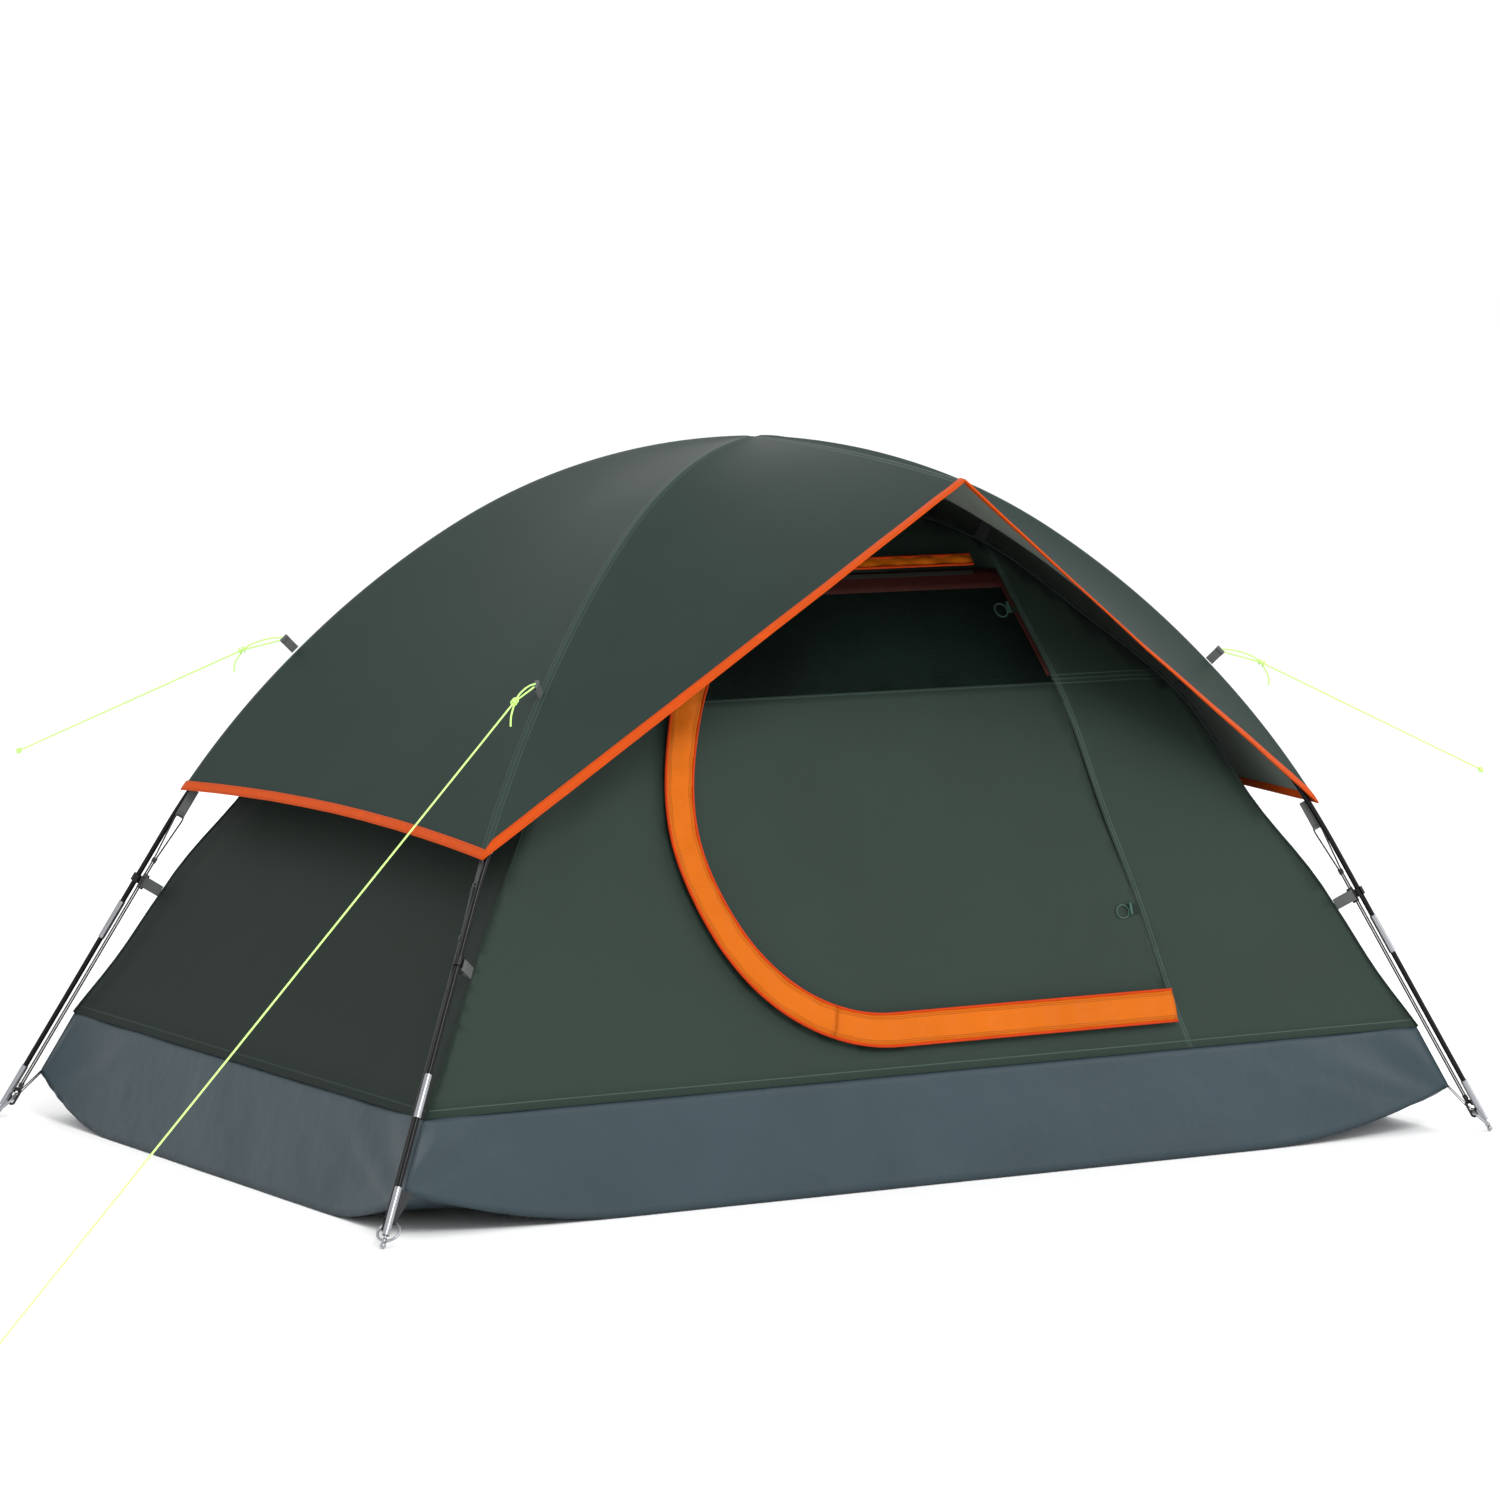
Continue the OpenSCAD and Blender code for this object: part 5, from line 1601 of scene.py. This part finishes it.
@dataclass
class Webbing(Part):
    """Every sewn strap, loop and tab, and the elastics of the fly's corners."""

    width: float = 0.020
    ply: float = 0.0014
    ring_d: float = 0.038
    ring_wire: float = 0.0022
    ring_lean: float = math.radians(40)
    hook_turn: float = math.radians(45)
    pin_ball_h: float = 0.005
    pin_eye_up: float = 0.008
    tab_reach: float = 0.0272
    tab_eye_r: float = 0.0037
    tie_patch_r: float = 0.044
    cord_r: float = 0.0015
    cord_gap: float = 0.0018

    def eye_at(self) -> float:
        """How far along the pole's line its pin's eye is beyond the foot."""
        return (self.shape.foot_h - self.pin_ball_h) / math.sin(self.shape.foot_slope) - self.pin_eye_up

    def loop(
        self, corner: Corner, s: float, flat: Sequence[Pair], width: float, h: float = 0.0
    ) -> tuple[list[Vector], list[Vector]]:
        """Edge lines of a strap that runs in the plane square to a pole."""
        return (
            [self.shape.on_pole(corner, s, (x, y, -width / 2), h) for x, y in flat],
            [self.shape.on_pole(corner, s, (x, y, width / 2), h) for x, y in flat],
        )

    def round(self, r: float, gap: float, reach: float, count: int = 22) -> list[Pair]:
        """A strap's line round a rod with both plies led away from it."""
        start = math.asin(min(0.9, gap / r))
        turn = [start + (math.tau - 2 * start) * i / count for i in range(count + 1)]
        return [(reach, gap), *((r * math.cos(a), r * math.sin(a)) for a in turn), (reach, -gap)]

    def pole_straps(self) -> bpy.types.Object:
        """Loops that hold the inner tent up to the poles."""
        shape, strips = self.shape, []
        for corner in Corner:
            sx, sy = corner.value
            h = shape.over_h if sx * sy < 0 else shape.under_h
            for s in shape.strap_s:
                lean = (h - shape.peak) * math.cos(shape.slope(s)) * (1 - s / shape.full_s)
                flat = self.round(shape.rod_r + 0.0015, 0.0009, shape.hollow(s) + lean - 0.001)
                strips.append(self.loop(corner, s, flat, self.width, h))
        return self.maker.strap("pole_loops", strips, self.ply, self.finishes.web_black)

    def guy_tabs(self) -> bpy.types.Object:
        """Tabs on the fly with an eye for each guy line."""
        shape, strips = self.shape, []
        base = shape.fly_out(shape.strap_s[1]) + 0.0012
        for corner in Corner:
            eye, r = base + self.tab_reach, self.tab_eye_r
            turn = steps(math.radians(-150), math.radians(150), 16)
            ring = [(-eye - r * math.cos(a), r * math.sin(a)) for a in turn]
            flat = [(-base, -0.0008), (-eye + 0.006, -0.0009), *ring, (-eye + 0.006, 0.0009), (-base, 0.0008)]
            strips.append(self.loop(corner, shape.strap_s[1], flat, self.width * 0.8))
        return self.maker.strap("guy_loops", strips, self.ply, self.finishes.web_grey)

    def clip_tab(self, corner: Corner) -> bpy.types.Object:
        """The webbing that hangs the inner tent's seam from a clip."""
        shape = self.shape
        start = shape.rod_r + 0.00035 + 0.0032 - 0.0008 + 0.012
        reach = shape.hollow(shape.clip_s) - 0.0028
        a, r = start - 0.008, 0.0032
        turns = steps(math.radians(-80), math.radians(80), 8)
        turn = [(a + r - r * math.cos(t), r * math.sin(t)) for t in turns]
        flat = [(reach, -0.0016), (a + 0.008, -0.0030), *turn, (a + 0.008, 0.0030), (reach, 0.0016)]
        strip = self.loop(corner, shape.clip_s, flat, self.width)
        return self.maker.strap("clip_webbing_" + corner.label, [strip], self.ply, self.finishes.web_grey)

    def foot_straps(self) -> bpy.types.Object:
        """Webbing from each ring to the tub's corner."""
        s, strips = self.shape, []
        t, a = s.foot_slope, self.ring_lean
        eye_at = self.eye_at()
        eye = (s.diagonal + eye_at * math.cos(t), s.foot_h - eye_at * math.sin(t))
        far = (eye[0] - self.ring_d * math.cos(a), eye[1] + self.ring_d * math.sin(a))
        gather = (min(s.floor_x / 2 / s.kx, s.diagonal - 0.060) - 0.004, s.corner_lift)
        way = Vector((gather[0] - far[0], gather[1] - far[1])).normalized()
        side = Vector((-way.y, way.x))
        for corner in Corner:
            r = self.ring_wire + 0.0018
            line = [Vector(gather) + side * 0.0012]
            for q in steps(math.radians(25), math.radians(335), 20):
                line.append(Vector(far) + way * r * math.cos(q) + side * r * math.sin(q))
            line += [Vector(gather) - side * 0.0012]
            ease = [0.010] + [0.0045] * 21 + [0.010]
            strips.append((
                [s.corner_pt(corner, p.x, -w, p.y) for p, w in zip(line, ease)],
                [s.corner_pt(corner, p.x, w, p.y) for p, w in zip(line, ease)],
            ))
        return self.maker.strap("foot_webbing", strips, self.ply, self.finishes.web_dark)

    def elastics(self) -> None:
        """Corner tabs of the fly and the elastic from each to its hook on the ring."""
        s = self.shape
        t = s.foot_slope
        reach = self.ring_d / 2 * (1 + math.cos(self.hook_turn))
        hook_x = reach * math.sin(t - self.ring_lean)
        hook_z = self.eye_at() + reach * -math.cos(t - self.ring_lean)
        aside = self.ring_d / 2 * math.sin(self.hook_turn)
        foot = s.fly_s - s.full_s
        bight, knot, end = foot + 0.038, foot + 0.130, hook_z - 0.024
        gap = self.cord_gap
        tabs = []
        for corner in Corner:
            half = [(gap, end), (gap, knot + 0.005), (gap, knot - 0.005)]
            half += [(0.007, bight + 0.008), (0.006, bight + 0.001), (0.003, bight)]
            left = [s.on_foot(corner, (hook_x - x, aside, z)) for x, z in half]
            right = [s.on_foot(corner, (hook_x + x, aside, z)) for x, z in reversed(half)]
            path = left[:3] + curve_through(left[3:] + right[:3], 5) + right[3:]
            paths = [path]
            for z, r in ((knot, 0.0030), (end - 0.005, 0.0027)):
                coil = []
                for i in range(40):
                    q = math.tau * 3 * i / 39
                    x = hook_x + (gap + r * 0.55) * math.cos(q)
                    coil.append(s.on_foot(corner, (x, aside + r * math.sin(q), z + (i / 39 - 0.5) * 0.008)))
                paths.append(coil)
            name = "shock_cord_" + corner.label
            cord = self.maker.tubes(name, paths, self.cord_r, self.finishes.elastic, 8)
            self.settle(cord, "elastic_black", "elastic_" + corner.label)
            r = 0.0030
            turn_back = steps(math.radians(215), math.radians(-35), 14)
            line = [(-0.0012, foot - 0.014), (-0.0012, bight - 0.006)]
            line += [(r * math.cos(q), bight + r * math.sin(q)) for q in reversed(turn_back)]
            line += [(0.0012, bight - 0.006), (0.0012, foot - 0.014)]
            a = [s.on_foot(corner, (hook_x - 0.009, aside - 0.0030 + y, z)) for y, z in line]
            b = [s.on_foot(corner, (hook_x + 0.007, aside - 0.0030 + y, z)) for y, z in line]
            tabs.append((a, b))
        tab = self.maker.strap("fly_corner_tabs", tabs, 0.0011, self.finishes.web_grey)
        self.settle(tab, "webbing_grey", "fly_corner_loops")

    def crown(self) -> bpy.types.Object:
        """Tie between the inner tent's peak and the crossing of the poles, with its round patch."""
        s = self.shape
        top, low = s.under_h - s.rod_r - 0.0005, s.wall_top + 0.004
        half = self.width / 2
        strips = [tuple([Vector((x, 0, z)) for z in (low, (low + top) / 2, top)] for x in (-half, half))]
        turns = [math.tau * k / 24 for k in range(25)]
        radii = (self.tie_patch_r, 0.001)
        strips.append(tuple([Vector((r * math.cos(a), r * math.sin(a), low)) for a in turns] for r in radii))
        return self.maker.strap("crown_tie", strips, self.ply, self.finishes.web_black)

    def build(self) -> None:
        """Make all the straps."""
        fixed = (
            (self.pole_straps(), "pole_straps", "webbing_black"),
            (self.guy_tabs(), "guy_tabs", "webbing_grey"),
            (self.foot_straps(), "corner_webbing", "webbing_dark"),
            (self.crown(), "apex_tie", "webbing_black"),
        )
        for piece, node, slot in fixed:
            self.settle(piece, slot, node)
        for corner in Corner:
            tab = self.clip_tab(corner)
            self.settle(tab, "webbing_grey", "clip_tab_" + corner.label, body="clip_" + corner.label)
        self.elastics()


@dataclass
class Toggles(Part):
    """Tabs and elastic loops that hold the door when it is rolled back."""

    heights: Pair = (0.935, 0.425)
    reaches: tuple[float, ...] = (0.0, 0.008, 0.016, 0.023)
    half_w: float = 0.008
    tab_out: float = 0.0021
    cord_out: float = 0.0019
    loop_size: Pair = (0.013, 0.011)
    ply: float = 0.0012

    def build(self) -> None:
        """Make the tabs and loops, one piece of each."""
        s = self.shape
        strips, loops = [], []
        for z in self.heights:
            x = s.hinge_x(z)
            strips.append(tuple(
                [s.front_pt(x - d, edge, self.tab_out) for d in self.reaches]
                for edge in (z + self.half_w, z - self.half_w)
            ))
            across, high = self.loop_size
            loops.append([
                s.front_pt(x - 0.024 - high + across * math.cos(a), z - 0.003 + high * math.sin(a), self.cord_out)
                for a in (math.tau * k / 28 for k in range(28))
            ])
        tabs = self.maker.strap("toggle_tabs", strips, self.ply, self.finishes.corner_cord)
        cords = self.maker.tubes("toggle_cords", loops, self.ply, self.finishes.loop_green, 8, closed=True)
        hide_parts("toggle_loops")
        for piece in (tabs, cords):
            self.settle(piece, "toggle_green")


class Hardware:
    """Finishes for the CAD nodes that are shown as they are."""

    def dress(self, finishes: Finishes) -> None:
        """Give each kept node its finish."""
        kept = {
            "pole_ferrules": finishes.bright, "pole_end_tubes": finishes.bright, "foot_pins": finishes.wire,
            "pole_shock_cords": finishes.elastic, "brow_rod": finishes.rod, "zip_chain": finishes.coil,
            "zip_slider": finishes.zip_metal, "zip_puller": finishes.puller,
            "toggle_upper": finishes.green, "toggle_lower": finishes.green,
        }
        for corner in Corner:
            kept["ring_" + corner.label] = finishes.wire
            kept["clip_" + corner.label] = finishes.black
            kept["hook_" + corner.label] = finishes.black
        for name, material in kept.items():
            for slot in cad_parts[name].material_slots:
                slot.material = material
            LOG.info("%s: finish %s", name, material.name)


def main() -> None:
    """Build the tent piece by piece."""
    logging.basicConfig(level=logging.INFO, format="%(name)s %(message)s")
    shape, maker, studio = TentShape(), Maker(), Studio()
    studio.camera()
    finishes = Finishes()
    kit = (shape, maker, finishes)
    GuyLines(*kit).build()
    studio.build(maker)
    Fly(*kit).build()
    walls = InnerTent(*kit)
    walls.build()
    for part in (Door(*kit, walls), Tub(*kit), Poles(*kit), Webbing(*kit), Toggles(*kit)):
        part.build()
    Hardware().dress(finishes)


if __name__ == "__main__":
    main()
